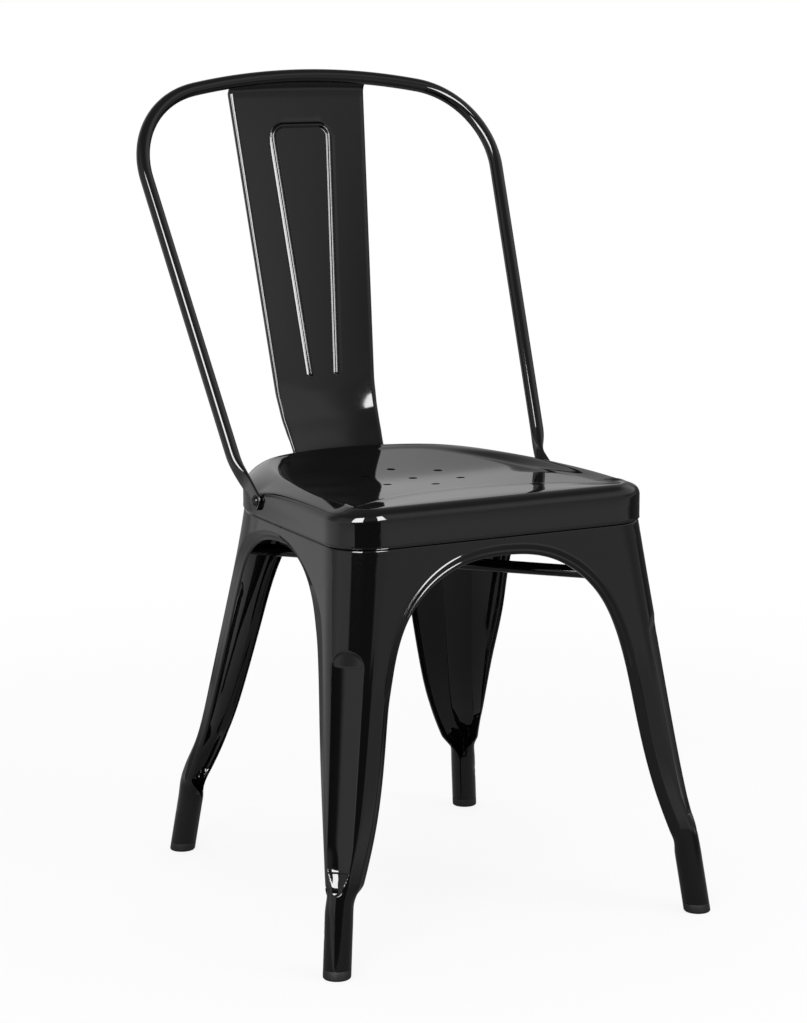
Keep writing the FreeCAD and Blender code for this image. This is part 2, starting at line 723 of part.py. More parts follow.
def make_braces():
    """Crossed round bars welded into the leg corners, one whole and one in two halves."""
    inside = leg_solid(sheet + fit_gap / 2)
    front = corner_point(brace_height, -1)
    rear = corner_point(brace_height, 1)
    r = brace_diameter / 2
    spare = 20.0
    whole_way = front - Vector(-rear.x, rear.y, rear.z)
    start = front + whole_way.normalize() * spare
    length = (front - Vector(-rear.x, rear.y, rear.z)).Length + 2 * spare
    whole = Part.makeCylinder(r, length, start, whole_way * -1).common(inside)
    nodes["brace_long"] = whole
    other = mirror_x(whole)
    middle = Part.makeCylinder(r + fit_gap / 2, length, start, whole_way * -1)
    halves = other.cut(middle).Solids
    halves.sort(key=lambda piece: piece.CenterOfMass.y)
    nodes["brace_short_front"] = halves[0]
    nodes["brace_short_rear"] = halves[-1]


def move_to_middle():
    """Put the origin on the floor under the middle of the whole chair."""
    box = FreeCAD.BoundBox()
    for shape in nodes.values():
        box.add(shape.optimalBoundingBox(False, False))
    for name in nodes:
        nodes[name] = nodes[name].translated(Vector(-box.Center.x, -box.Center.y, -box.ZMin))


def write_parts():
    os.makedirs("parts", exist_ok=True)
    for name, shape in nodes.items():
        shape.exportStep(os.path.join("parts", name + ".step"))
        print(name, "solids", len(shape.Solids), "valid", shape.isValid())


make_seat()
make_legs()
make_hoop()
make_splat()
make_braces()
make_hoop_fasteners()
make_splat_fasteners()
move_to_middle()
write_parts()
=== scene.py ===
"""Looks of a metal bistro chair: glossy black enamel over pressed sheet and bent tube.

Sizes are millimetres, from the seat's middle hole and the floor, until place() turns them into
metres of the frame. The chair faces -Y. Camera, panels and lamps are in metres of the frame.
"""
import math

import bpy
import numpy as np
from mathutils import Matrix, Vector


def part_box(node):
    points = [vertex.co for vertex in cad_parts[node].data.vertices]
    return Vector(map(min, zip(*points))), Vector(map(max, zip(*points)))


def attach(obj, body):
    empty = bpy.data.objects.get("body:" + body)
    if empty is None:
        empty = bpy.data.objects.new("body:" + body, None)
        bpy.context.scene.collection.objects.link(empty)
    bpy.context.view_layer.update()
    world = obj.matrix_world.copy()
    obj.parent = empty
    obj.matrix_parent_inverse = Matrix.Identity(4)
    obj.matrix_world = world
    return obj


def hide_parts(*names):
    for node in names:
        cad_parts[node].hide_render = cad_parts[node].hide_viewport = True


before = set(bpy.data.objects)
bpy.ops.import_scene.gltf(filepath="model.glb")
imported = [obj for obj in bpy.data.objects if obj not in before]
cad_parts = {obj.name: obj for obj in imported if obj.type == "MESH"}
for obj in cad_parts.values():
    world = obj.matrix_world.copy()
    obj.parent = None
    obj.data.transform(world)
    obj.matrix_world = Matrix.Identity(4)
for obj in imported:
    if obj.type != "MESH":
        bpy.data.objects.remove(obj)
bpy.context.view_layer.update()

MM = 0.001
BODY = "root"
# Angles in degrees from which an edge stays sharp
LEG_SMOOTH, SEAT_SMOOTH, HOOP_SMOOTH, SPLAT_SMOOTH, TURNED_SMOOTH = 38.0, 30.0, 45.0, 38.0, 35.0

# Seat
SEAT_HEIGHT = 450.0
SEAT_FRONT_HALF = 179.0
SEAT_REAR_HALF = 170.0
SEAT_FRONT = -195.0
SEAT_REAR = 180.0
SEAT_FRONT_RADIUS = 44.0
SEAT_REAR_RADIUS = 166.0
SKIRT_BOTTOM = 411.5
SHEET = 1.2
FIT_GAP = 0.3
LAP = SHEET + FIT_GAP
HOLE_RADIUS = 4.75
HOLE_RING_RADIUS = 50.3
HOLE_RING_COUNT = 6
DRILL_REACH = 12.0
DRILL_SIDES = 24

# Legs
FOOT_RADIUS = 14.0
FOOT_WRAP = 0.5
FRONT_FOOT = (210.0, -235.5)
REAR_FOOT = (181.0, 212.0)
GLIDE_HEIGHT = 10.0
TUBE_TOP = 60.0
SHELL_START = 90.0
LEG_SPLIT_Y = -40.0
LEG_GAP_HALF = 0.15
SEAM_HALF = 0.6
SHOULDER_START = 408.6
SHOULDER_RISE = 1.9
SHOULDER_DEPTH = 1.1
# Corner radii by height
LEG_RADII_FRONT = ((62.0, 14.5), (86.0, 15.8), (130.0, 24.0), (200.0, 32.0), (300.0, 38.0),
                   (411.5, 42.5))
LEG_RADII_REAR = ((62.0, 14.5), (86.0, 17.0), (130.0, 54.0), (200.0, 94.0), (300.0, 136.0),
                  (411.5, 164.5))
LEG_RADII_END = 460.0
# The rear legs' bend inwards, and its share by height
REAR_BOW_WAY = (5.6, 3.5)
REAR_BOW = ((0.0, 0.0), (60.0, 0.56), (110.0, 0.98), (160.0, 0.93), (230.0, 0.6), (330.0, 0.12),
            (411.5, 0.0))
# Edges of the arches, from their lowest places up
EDGE_LOW = 58.0
ARCH_TOP = 391.0
FRONT_ARCH = ((190.0, 58.0), (161.0, 140.0), (144.4, 220.0), (128.2, 300.0), (112.0, 337.0),
              (84.0, 367.0), (45.0, 386.0))
REAR_ARCH = ((164.0, 58.0), (131.0, 125.0), (110.0, 196.0), (95.0, 262.0), (83.0, 310.0),
             (66.0, 346.0), (38.0, 376.0))
SIDE_ARCH_FRONT = ((-228.0, 58.0), (-205.0, 121.0), (-173.0, 213.0), (-150.5, 297.0),
                   (-135.0, 334.0), (-102.0, 368.0), (-66.0, 386.0))
SIDE_ARCH_REAR = ((200.0, 58.0), (161.0, 134.0), (134.0, 198.0), (106.0, 262.0), (89.0, 310.0),
                  (68.0, 350.0), (30.0, 380.0))
SIDE_ARCH_MIDDLE_Y = -22.0

# Flute pressed into the corner of each leg, and the bowl at its lower end
FLUTE_LOW = 81.0
FLUTE_HIGH = 314.0
FLUTE_HALF_LOW, FLUTE_HALF_LOW_AT = 13.6, 122.0
FLUTE_HALF_HIGH, FLUTE_HALF_HIGH_AT = 17.3, 305.0
FLUTE_STEP = 0.5
FLUTE_HOLLOW = 0.9
FLUTE_WALL = 1.6
FLUTE_DEEPEST = 7.2
FLUTE_END = 26.0
FLUTE_END_HOLLOW = 3.6
FLUTE_BOWL_TOP = 128.0
FLUTE_BOWL_FADE = 35.0
FLUTE_END_TURN = 0.10
# Share of the flute's depth, by share of the way down its end
FLUTE_END_DEPTHS = ((0.0, 1.0), (0.08, 0.99), (0.16, 0.93), (0.3, 0.72), (0.45, 0.47), (0.6, 0.23),
                    (0.7, 0.13), (0.8, 0.105), (1.0, 0.1))

# Hoop
BACK_HEIGHT = 860.0
HOOP_DIAMETER = 14.5
HOOP_LEAN = 0.52
HOOP_TOP_Y = 252.8
HOOP_HALF_WIDTH = 213.7
HOOP_SIDE_SLOPE = 0.0955
HOOP_CORNER_RADIUS = 96.0
HOOP_TOP_RADIUS = 679.0
HOOP_STRAIGHT_END = 472.0
TAB_WIDTH = 20.0
TAB_THICKNESS = 3.2
TAB_Y = 12.5
TAB_DROP = 21.5
TAB_STRAIGHT = 22.0
TAB_SLOPE = 0.66
BOLT_HEAD_RADIUS = 6.25
BOLT_HEAD_HEIGHT = 4.0
BOLT_RADIUS = 3.0

# Splat
SPLAT_FOOT = 416.0
SPLAT_FOOT_GAP = 0.35
SPLAT_FOOT_SETBACK = 0.8
SPLAT_FOOT_HALF = 56.0
SPLAT_FOOT_STRAIGHT = 22.0
# Rise above the foot, setback, share of the foot's hollow, half width
SPLAT_BEND = ((29.0, -0.6, 0.975, 56.0), (29.8, -0.45, 0.97, 56.0), (30.6, 0.0, 0.965, 56.0),
              (32.4, 1.1, 0.954, 56.1), (44.0, 7.2, 0.90, 57.2), (54.0, 12.5, 0.83, 58.1),
              (64.0, 17.85, 0.775, 59.2), (74.0, 22.0, 0.72, 59.8), (84.0, 25.3, 0.625, 60.7),
              (94.0, 27.75, 0.465, 61.3), (104.0, 29.75, 0.384, 61.8))
SPLAT_LEAN = 0.21
SPLAT_SPREAD = 0.068
SPLAT_TOP_HOLLOW = 1.0
SPLAT_CURL_RISE = 19.0
SPLAT_CURL_REACH = 12.0
SPLAT_RETURN = 5.0
BEAD_WIDTH = 6.6
BEAD_RISE = 2.0
BEAD_LOW = 526.5
BEAD_HIGH = 798.4
BEAD_HALF_LOW = 16.1
BEAD_HALF_HIGH = 35.4
BEAD_CORNER = 13.0
BEAD_CORNER_STEPS = 12
BEAD_FLAT = 1.25
BEAD_SOFTNESS = 0.45

SEAT_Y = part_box("seat_pan")[1].y / MM - SEAT_REAR


def place(x, y, z):
    """A point in metres of the frame, from millimetres of the seat."""
    return Vector((x, y + SEAT_Y, z)) * MM


def between(low, high, share):
    return low + (high - low) * share


def ease(value):
    """Smooth step from 0 at 0 to 1 at 1."""
    value = min(1.0, max(0.0, value))
    return value * value * (3.0 - 2.0 * value)


class Route:
    """A line of points that is read by the distance along it."""

    def __init__(self, points):
        self.points = np.array(points, float)
        steps = np.linalg.norm(np.diff(self.points, axis=0), axis=1)
        self.reach = np.concatenate(([0.0], np.cumsum(steps)))
        self.length = self.reach[-1]

    def at(self, distance):
        return tuple(np.interp(distance, self.reach, column) for column in self.points.T)

    def where(self, column, value):
        """Distance along at which a rising column reaches this value."""
        return float(np.interp(value, self.points[:, column], self.reach))

    def way(self, distance):
        """Unit direction of travel."""
        before = np.array(self.at(distance - 1.0))
        after = np.array(self.at(distance + 1.0))
        step = after - before
        return step / np.linalg.norm(step)


def smooth_curve(points, start_way=None, end_way=None, count=400):
    """Close places on the smooth curve through these points; its ends may have a set slope."""
    points = np.array(points, float)
    steps = np.linalg.norm(np.diff(points, axis=0), axis=1)
    knots = np.concatenate(([0.0], np.cumsum(steps)))
    size = len(points)
    rows = np.zeros((size, size))
    wanted = np.zeros_like(points)
    slopes = np.diff(points, axis=0) / steps[:, None]
    rows[0, 0] = rows[-1, -1] = 1.0
    if start_way is not None:
        rows[0, :2] = 2 * steps[0], steps[0]
        wanted[0] = 6 * (slopes[0] - np.array(start_way))
    if end_way is not None:
        rows[-1, -2:] = steps[-1], 2 * steps[-1]
        wanted[-1] = 6 * (np.array(end_way) - slopes[-1])
    for i in range(1, size - 1):
        rows[i, i - 1:i + 2] = steps[i - 1], 2 * (steps[i - 1] + steps[i]), steps[i]
        wanted[i] = 6 * (slopes[i] - slopes[i - 1])
    bends = np.linalg.solve(rows, wanted)
    at = np.linspace(0.0, knots[-1], count)
    piece = np.clip(np.searchsorted(knots, at) - 1, 0, size - 2)
    gap = steps[piece][:, None]
    after = (at - knots[piece])[:, None]
    before = gap - after
    return (bends[piece] * before ** 3 / (6 * gap) + bends[piece + 1] * after ** 3 / (6 * gap)
            + (points[piece] / gap - bends[piece] * gap / 6) * before
            + (points[piece + 1] / gap - bends[piece + 1] * gap / 6) * after)


def read(curve, value, column=1):
    """A curve's number in this column, where its first column has this value."""
    return float(np.interp(value, curve[:, 0], curve[:, column]))


def pick(piece):
    """Make this the one selected and active object."""
    bpy.ops.object.select_all(action="DESELECT")
    piece.select_set(True)
    bpy.context.view_layer.objects.active = piece


def edit_all(piece, *steps):
    """Run edit mode operators on the whole mesh."""
    pick(piece)
    bpy.ops.object.mode_set(mode="EDIT")
    bpy.ops.mesh.select_all(action="SELECT")
    for step in steps:
        step()
    bpy.ops.object.mode_set(mode="OBJECT")


def weld(piece, threshold=2e-5):
    """Merge points that meet, and turn all faces outwards."""
    edit_all(piece, lambda: bpy.ops.mesh.remove_doubles(threshold=threshold),
             lambda: bpy.ops.mesh.normals_make_consistent(inside=False))


def flip(piece):
    edit_all(piece, bpy.ops.mesh.flip_normals)


def join(pieces):
    pick(pieces[0])
    for piece in pieces:
        piece.select_set(True)
    bpy.ops.object.join()
    return pieces[0]


def finish_with(piece, kind, **settings):
    """Add a modifier and apply it."""
    pick(piece)
    modifier = piece.modifiers.new(kind.lower(), kind)
    for name, value in settings.items():
        setattr(modifier, name, value)
    bpy.ops.object.modifier_apply(modifier=modifier.name)


def smooth(piece, angle):
    """Smooth shading, but for edges sharper than this angle in degrees."""
    pick(piece)
    bpy.ops.object.shade_smooth_by_angle(angle=math.radians(angle))


def laid_grid(name, rows):
    """A grid primitive laid over rows of points."""
    across = len(rows[0])
    bpy.ops.object.select_all(action="DESELECT")
    bpy.ops.mesh.primitive_grid_add(x_subdivisions=across - 1, y_subdivisions=len(rows) - 1, size=1)
    piece = bpy.context.object
    piece.name = piece.data.name = name
    piece.data.vertices.foreach_set("co", [c for row in rows for point in row for c in point])
    piece.data.update()
    return piece


def placed_grid(name, rows):
    """A grid over rows of points in millimetres of the seat."""
    return laid_grid(name, [[place(*point) for point in row] for row in rows])


def copy_mirrored(piece, name):
    """A copy on the other side of the chair, with its own mesh."""
    other = piece.copy()
    other.data = piece.data.copy()
    other.name = other.data.name = name
    bpy.context.scene.collection.objects.link(other)
    other.data.transform(Matrix.Scale(-1.0, 4, Vector((1, 0, 0))))
    flip(other)
    return other


def add_to_chair(piece, node):
    """Put the piece in the place of this CAD node."""
    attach(piece, BODY)
    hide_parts(node)


# Legs


def radius_route(table):
    """Corner radius by height, eased through the named heights."""
    return smooth_curve([(0.0, table[0][1])] + list(table) + [(LEG_RADII_END, table[-1][1])])


RADIUS_ROUTES = {-1: radius_route(LEG_RADII_FRONT), 1: radius_route(LEG_RADII_REAR)}
REAR_BOW_ROUTE = smooth_curve(REAR_BOW)
FLUTE_END_ROUTE = smooth_curve(FLUTE_END_DEPTHS)


def rear_bow(z):
    """How far a rear leg bends inwards from the straight line between its foot and the seat."""
    return Vector(REAR_BOW_WAY) * read(REAR_BOW_ROUTE, z)


def leg_sizes(z):
    """Outside of the leg shells at height z, before their corners are rounded."""
    share = (SKIRT_BOTTOM - min(z, SKIRT_BOTTOM)) / SKIRT_BOTTOM
    reach = FOOT_RADIUS + FOOT_WRAP
    bow = rear_bow(z)
    return (between(SEAT_FRONT_HALF - LAP, FRONT_FOOT[0] + reach, share),
            between(SEAT_FRONT + LAP, FRONT_FOOT[1] - reach, share),
            between(SEAT_REAR_HALF - LAP, REAR_FOOT[0] + reach, share) - bow.x,
            between(SEAT_REAR - LAP, REAR_FOOT[1] + reach, share) - bow.y)


def tube_share(z):
    """1 where the leg is a tube, 0 where it is an open shell."""
    return 1.0 - ease((z - TUBE_TOP) / (SHELL_START - TUBE_TOP))


class LegCorner:
    """Outside of one right leg at one height, unrolled from the middle of its corner.

    Face 0 is the front or rear of the chair, face 1 its side. end is -1 for the front leg.
    """

    def __init__(self, z, end):
        half_front, front_y, half_rear, rear_y = leg_sizes(z)
        front = Vector((half_front, front_y))
        rear = Vector((half_rear, rear_y))
        self.corner, other = (front, rear) if end < 0 else (rear, front)
        self.radius = read(RADIUS_ROUTES[end], z)
        self.ways = (Vector((-1.0, 0.0)), (other - self.corner).normalized())
        half_angle = self.ways[0].angle(self.ways[1]) / 2
        self.reach = self.radius / math.tan(half_angle)
        self.turn = math.pi / 2 - half_angle
        inwards = (self.ways[0] + self.ways[1]).normalized()
        self.outwards = -inwards
        self.centre = self.corner + inwards * (self.radius / math.sin(half_angle))
        self.middle = self.centre + self.outwards * self.radius

    def across(self, face, value):
        """Unrolled distance at which the face has this x, or this y on the side."""
        along = self.corner.x - value if face == 0 else (value - self.corner.y) / self.ways[1].y
        return self.radius * self.turn + along - self.reach

    def aside(self, face):
        """Unit direction along the corner towards this face."""
        way = self.ways[face]
        return (way - self.outwards * way.dot(self.outwards)).normalized()

    def at(self, face, across):
        """Point and outward direction on the face at this unrolled distance."""
        turned = min(across / self.radius, self.turn)
        normal = self.outwards * math.cos(turned) + self.aside(face) * math.sin(turned)
        flat = max(0.0, across - self.radius * self.turn)
        return self.centre + normal * self.radius + self.ways[face] * flat, normal


def arch_halves(left, middle, right, split):
    """The two halves of an arch, each from its foot up to where the legs meet."""
    curve = smooth_curve(list(left) + [(middle, ARCH_TOP)] + list(reversed(right)), count=900)
    top = (split, read(curve, split))
    first = [tuple(p) for p in curve if p[0] < split] + [top]
    last = [tuple(p) for p in curve[::-1] if p[0] > split] + [top]
    return first, last


# Border of an arch: share of its width that is left to the edge, and depth behind the face
BEADED_BORDER = ((1.0, 0.0), (0.955, -0.12), (0.905, -0.36), (0.86, -0.42), (0.81, -0.24),
                 (0.75, 0.2), (0.62, 1.05), (0.50, 1.85), (0.45, 2.05), (0.405, 1.95), (0.36, 1.72),
                 (0.32, 1.68), (0.27, 1.85), (0.16, 2.3), (0.07, 2.9), (0.02, 3.6), (0.0, 4.6),
                 (0.0, 6.3), (0.0, 8.0))
ROLLED_BORDER = ((1.0, 0.0), (0.985, 0.03), (0.965, 0.14), (0.94, 0.32), (0.80, 1.42), (0.66, 2.52),
                 (0.52, 3.62), (0.49, 3.78), (0.46, 3.80), (0.43, 3.86), (0.40, 4.02), (0.28, 4.75),
                 (0.17, 5.45), (0.09, 6.05), (0.04, 6.6), (0.01, 7.3), (0.0, 8.0))
# Depths of the same borders where they run down a leg, and the heights between which they change
BEADED_LOW = ((0.0, 0.02, 0.08, 0.2, 0.42, 0.75, 1.6, 2.4, 2.75, 3.0, 3.25, 3.45, 3.7, 4.3, 4.9,
               5.4, 6.0, 7.0, 8.0), 250.0, 285.0)
ROLLED_LOW = ((0.0, 0.02, 0.08, 0.17, 0.34, 0.51, 0.68, 0.71, 0.75, 0.78, 0.82, 0.96, 1.1, 1.25,
               1.6, 2.6, 8.0), 325.0, 391.0)
BEADED_WIDTH = 9.6
BEADED_WIDTH_TOP = 12.4
ROLLED_WIDTH = 17.0
FLAT_WIDTH = 20.0
ROLLED_WIDTH_TOP = 11.0
BORDER_TOP_START = 330.0
BORDER_TOP_RISE = 60.0
BORDER_TAPER = 1.6
BORDER_LEAST_ROOM = 5.0
BORDER_SLOPE_DEPTH = 4.0
# Columns across half a flute, as shares of its half width, the last ones just outside it
FLUTE_SHARES = (0.0, 0.1, 0.2, 0.3, 0.4, 0.5, 0.6, 0.7, 0.78, 0.85, 0.90, 0.94, 0.97, 1.0, 1.04,
                1.1)
FACE_COLUMNS = 11


class ArchFace:
    """One face of a leg between its corner and the arch beside it, drawn flat."""

    def __init__(self, end, face, edge, border, low_border, width, width_top):
        self.face, self.border, self.low_border = face, border, low_border
        self.width, self.width_top = width, width_top
        self.edge = Route([(LegCorner(z, end).across(face, abs(v) if face == 0 else v), z)
                           for v, z in edge])

    def border_points(self, distance, half):
        """The border's points beside the arch edge at this distance, clear of the flute."""
        across, z = self.edge.at(distance)
        way = self.edge.way(min(max(distance, 1.0), self.edge.length - 1.0))
        away = (-way[1], way[0])
        if distance > self.edge.length - 1.0 and self.face == 0:
            away = (0.0, 1.0)
        width = between(self.width, self.width_top, ease((z - BORDER_TOP_START) / BORDER_TOP_RISE))
        width = min(width, 0.5 * max(across - FLUTE_SHARES[-1] * half, BORDER_LEAST_ROOM))
        narrow = width < min(self.width, self.width_top)
        depth = ease(width / self.width * BORDER_TAPER) if narrow else 1.0
        points = []
        for i, (share, back) in enumerate(self.border):
            if self.low_border:
                low_depths, low, high = self.low_border
                back = between(low_depths[i], back, ease((z - low) / (high - low)))
            sloped = back < BORDER_SLOPE_DEPTH
            back = back * depth if sloped else back - BORDER_SLOPE_DEPTH * (1.0 - depth)
            points.append((across + away[0] * width * share, z + away[1] * width * share, back))
        return points


def flute_half(z):
    share = (z - FLUTE_HALF_LOW_AT) / (FLUTE_HALF_HIGH_AT - FLUTE_HALF_LOW_AT)
    return between(FLUTE_HALF_LOW, FLUTE_HALF_HIGH, share)


def face_line(face, outer, distance, half, shares=None):
    """One row of a face, from the corner or the top edge to the hidden end of the border."""
    border = face.border_points(distance, half)
    start = border[0]
    if shares is None:
        length = math.hypot(start[0] - outer[0], start[1] - outer[1])
        shares = [half * share / length for share in FLUTE_SHARES]
        first = shares[-1]
        shares += [between(first, 1.0, (i + 1) / FACE_COLUMNS) for i in range(FACE_COLUMNS - 1)]
    line = []
    for share in shares:
        line.append((between(outer[0], start[0], share), between(outer[1], start[1], share), 0.0))
    return line + border, shares


def shell_point(end, face, across, z, back):
    """Place of a point that is drawn flat, pressed in a little where the seat's skirt laps it."""
    point, normal = LegCorner(z, end).at(face, max(across, 0.0))
    shoulder = SHOULDER_DEPTH * ease((z - SHOULDER_START) / SHOULDER_RISE)
    point = point - normal * (back + shoulder)
    return Vector((point.x, point.y, z))


def foot_centre(z, end):
    """Middle of the foot tube at height z."""
    foot = FRONT_FOOT if end < 0 else REAR_FOOT
    half_front, front_y, half_rear, rear_y = leg_sizes(SKIRT_BOTTOM)
    inset = FOOT_RADIUS + FOOT_WRAP
    top = (half_front - inset, front_y + inset) if end < 0 else (half_rear - inset, rear_y - inset)
    centre = Vector([between(low, high, z / SKIRT_BOTTOM) for low, high in zip(foot, top)])
    return centre if end < 0 else centre - rear_bow(z)


def developed(line):
    """Distance along a row from the middle of the corner."""
    total, found = 0.0, [0.0]
    for a, b in zip(line, line[1:]):
        total += math.dist(a, b)
        found.append(total)
    return found


def roll_into_foot(points, line, z, end, face):
    """Bend a row of the shell round the foot tube, more the lower it is."""
    share = tube_share(z)
    if share <= 0.0:
        return points
    corner = LegCorner(z, end)
    centre = foot_centre(z, end)
    reach = developed(line)
    whole = math.pi - SEAM_HALF / FOOT_RADIUS
    rolled = []
    for point, distance in zip(points, reach):
        turn = distance / reach[-1] * whole
        way = corner.outwards * math.cos(turn) + corner.aside(face) * math.sin(turn)
        on_tube = centre + way * FOOT_RADIUS
        x, y = (between(open_at, rolled_at, share) for open_at, rolled_at in zip(point, on_tube))
        rolled.append(Vector((x, y, point.z)))
    return rolled


def corner_middle(z, end):
    """Outermost place of the leg's corner at height z, before the flute is pressed."""
    corner = LegCorner(z, end)
    return corner.middle.lerp(foot_centre(z, end) + corner.outwards * FOOT_RADIUS, tube_share(z))


def press_flute(row, z_middle, end, middle_index):
    """Push the corner of one row in to the flat of the flute."""
    half = flute_half(z_middle)
    top = FLUTE_HIGH - half
    bottom = FLUTE_LOW + FLUTE_END
    corner = LegCorner(z_middle, end)
    middle = row[middle_index].xy
    lean = corner_middle(z_middle + 1.0, end) - corner_middle(z_middle, end)
    outwards = corner.outwards
    aside = Vector((-outwards.y, outwards.x))
    from_middle = [p.xy - middle - lean * (p.z - z_middle) for p in row]
    spots = [(step.dot(aside), step.dot(outwards)) for step in from_middle]
    chord = []
    for side in (-1, 1):
        near = sorted((s[0] * side, s[1]) for s in spots if 0 <= s[0] * side < 3 * half)
        chord.append(float(np.interp(half, [n[0] for n in near], [n[1] for n in near])))
    pressed = []
    for point, (across, out) in zip(row, spots):
        z = point.z
        if abs(across) >= half or not FLUTE_LOW < z < FLUTE_HIGH or out < -3 * half:
            pressed.append(point)
            continue
        inside = half - abs(across)
        ramp, low = 1.0, 0.0
        if z > top:
            inside = half - math.hypot(across, z - top)
            ramp = (FLUTE_HIGH - z) / half
        if z < bottom:
            low = (bottom - z) / FLUTE_END
            inside = half * (1.0 - math.hypot(across / half, low))
        deeper = FLUTE_END_HOLLOW * ease((FLUTE_BOWL_TOP - z) / FLUTE_BOWL_FADE) * (1.0 - low ** 3)
        hollow = (FLUTE_HOLLOW + deeper) * (1 - (across / half) ** 2)
        flat = (chord[0] + chord[1]) / 2 - FLUTE_STEP
        above = flat + FLUTE_DEEPEST - FLUTE_HOLLOW
        flat += (math.sqrt(above ** 2 + 1.0) - above) / 2
        depth = read(FLUTE_END_ROUTE, low)
        flat = flat * depth + deeper + FLUTE_END_TURN * ease(2.0 * low) * across
        push = max(0.0, out - flat + hollow) * ease(inside / FLUTE_WALL) * ramp
        moved = point.xy - outwards * push
        pressed.append(Vector((moved.x, moved.y, z)))
    return pressed


def spread(low, high, step):
    """Evenly spaced heights from low, up to but without high."""
    count = max(1, round((high - low) / step))
    return [between(low, high, i / count) for i in range(count)]


def spread_all(*spans):
    return [height for span in spans for height in spread(*span)]


FLOW_START = 250.0
FLOW_TOP = 404.0
LEG_ROWS = spread_all((GLIDE_HEIGHT, TUBE_TOP, 8.0), (TUBE_TOP, 78.0, 2.0), (78.0, 109.0, 0.6),
                      (109.0, 296.0, 4.0), (296.0, 325.0, 1.5), (325.0, FLOW_TOP, 5.0)) + [FLOW_TOP]
COLLAR_ROWS = (406.5, 408.3, 408.8, 409.2, 409.6, 410.0, 410.5, 412.0, 424.0, 435.0)
TOP_STEPS = 20


def leg_rows(end, faces):
    """Rows of the leg shell below the top of its corner, and what the upper rows need."""
    rows, last = [], {}
    for z in LEG_ROWS:
        half = flute_half(min(max(z, FLUTE_LOW), FLUTE_HIGH))
        halves = []
        for face in faces:
            if z < FLOW_START:
                distance = face.edge.where(1, max(z, EDGE_LOW))
            else:
                start = face.edge.where(1, FLOW_START)
                flow = 0.5 * (face.edge.length - start)
                distance = start + flow * (z - FLOW_START) / (FLOW_TOP - FLOW_START)
            line, shares = face_line(face, (0.0, z), distance, half)
            if z < EDGE_LOW:
                line = [(a, z, b) for a, _, b in line]
            points = [shell_point(end, face.face, *spot) for spot in line]
            halves.append(roll_into_foot(points, line, z, end, face.face))
            last[face.face] = (shares, distance)
        row = list(reversed(halves[0])) + halves[1][1:]
        rows.append(press_flute(row, z, end, len(halves[0]) - 1))
    return rows, last


def top_length(face, end):
    """Unrolled length from the corner to where two legs meet."""
    meeting = LEG_GAP_HALF if face.face == 0 else LEG_SPLIT_Y + LEG_GAP_HALF * end
    return LegCorner(FLOW_TOP, end).across(face.face, meeting)


def upper_strip(end, face, shares, distance):
    """Rows from the top of the corner along the top edge to where two legs meet."""
    whole = top_length(face, end)
    rows = []
    for i in range(TOP_STEPS + 1):
        share = i / TOP_STEPS
        along = between(distance, face.edge.length, share)
        line, _ = face_line(face, (whole * share, FLOW_TOP), along, 0.0, shares)
        rows.append([shell_point(end, face.face, *spot) for spot in line])
    return rows


def leg_mesh(name, end, faces):
    rows, last = leg_rows(end, faces)
    strips = [upper_strip(end, face, *last[face.face]) for face in faces]
    collar = [[row[0] for row in reversed(strips[0])] + [row[0] for row in strips[1][1:]]]
    for z in COLLAR_ROWS:
        line = []
        for i in range(-TOP_STEPS, TOP_STEPS + 1):
            face = faces[0] if i < 0 else faces[1]
            across = top_length(face, end) * abs(i) / TOP_STEPS
            line.append(shell_point(end, face.face, across, z, 0.0))
        collar.append(line)
    grids = [rows] + strips + [collar]
    leg = join([placed_grid(f"{name}_{i}", grid) for i, grid in enumerate(grids)])
    leg.name = leg.data.name = name
    weld(leg)
    outward_faces(leg)
    finish_with(leg, "SOLIDIFY", thickness=SHEET * MM, offset=-1.0, use_even_offset=False)
    smooth(leg, LEG_SMOOTH)
    return leg


def outward_faces(piece):
    """Turn an open sheet's faces away from the chair's middle line."""
    total = 0.0
    for polygon in piece.data.polygons:
        away = Vector((polygon.center.x, polygon.center.y, 0.0))
        total += polygon.area * polygon.normal.dot(away)
    if total < 0.0:
        flip(piece)


def make_legs():
    front, rear = (arch_halves([(-x, z) for x, z in arch], 0.0, arch, 0.0)[0]
                   for arch in (FRONT_ARCH, REAR_ARCH))
    sides = arch_halves(SIDE_ARCH_FRONT, SIDE_ARCH_MIDDLE_Y, SIDE_ARCH_REAR, LEG_SPLIT_Y)
    legs = []
    for end, place_name, first, side, side_low, side_width in (
            (-1, "front", front, sides[0], ROLLED_LOW, FLAT_WIDTH),
            (1, "rear", rear, sides[1], None, ROLLED_WIDTH)):
        faces = (ArchFace(end, 0, first, BEADED_BORDER, BEADED_LOW, BEADED_WIDTH, BEADED_WIDTH_TOP),
                 ArchFace(end, 1, side, ROLLED_BORDER, side_low, side_width, ROLLED_WIDTH_TOP))
        right = leg_mesh(f"{place_name}_leg_right", end, faces)
        left = copy_mirrored(right, f"{place_name}_leg_left")
        add_to_chair(right, f"leg_{place_name}_right")
        add_to_chair(left, f"leg_{place_name}_left")
        legs += [right, left]
    return legs


# Seat


def round_corner(before, corner, after, radius, count):
    """Points on the arc that rounds a corner, both ends included."""
    before, corner, after = Vector(before), Vector(corner), Vector(after)
    to_last = (before - corner).normalized()
    to_next = (after - corner).normalized()
    half_angle = to_last.angle(to_next) / 2
    inwards = (to_last + to_next).normalized()
    centre = corner + inwards * (radius / math.sin(half_angle))
    turn = math.pi / 2 - half_angle
    aside = (to_next - inwards * to_next.dot(inwards)).normalized()
    points = []
    for i in range(count + 1):
        angle = between(-turn, turn, i / count)
        points.append(centre + (-inwards * math.cos(angle) + aside * math.sin(angle)) * radius)
    return points


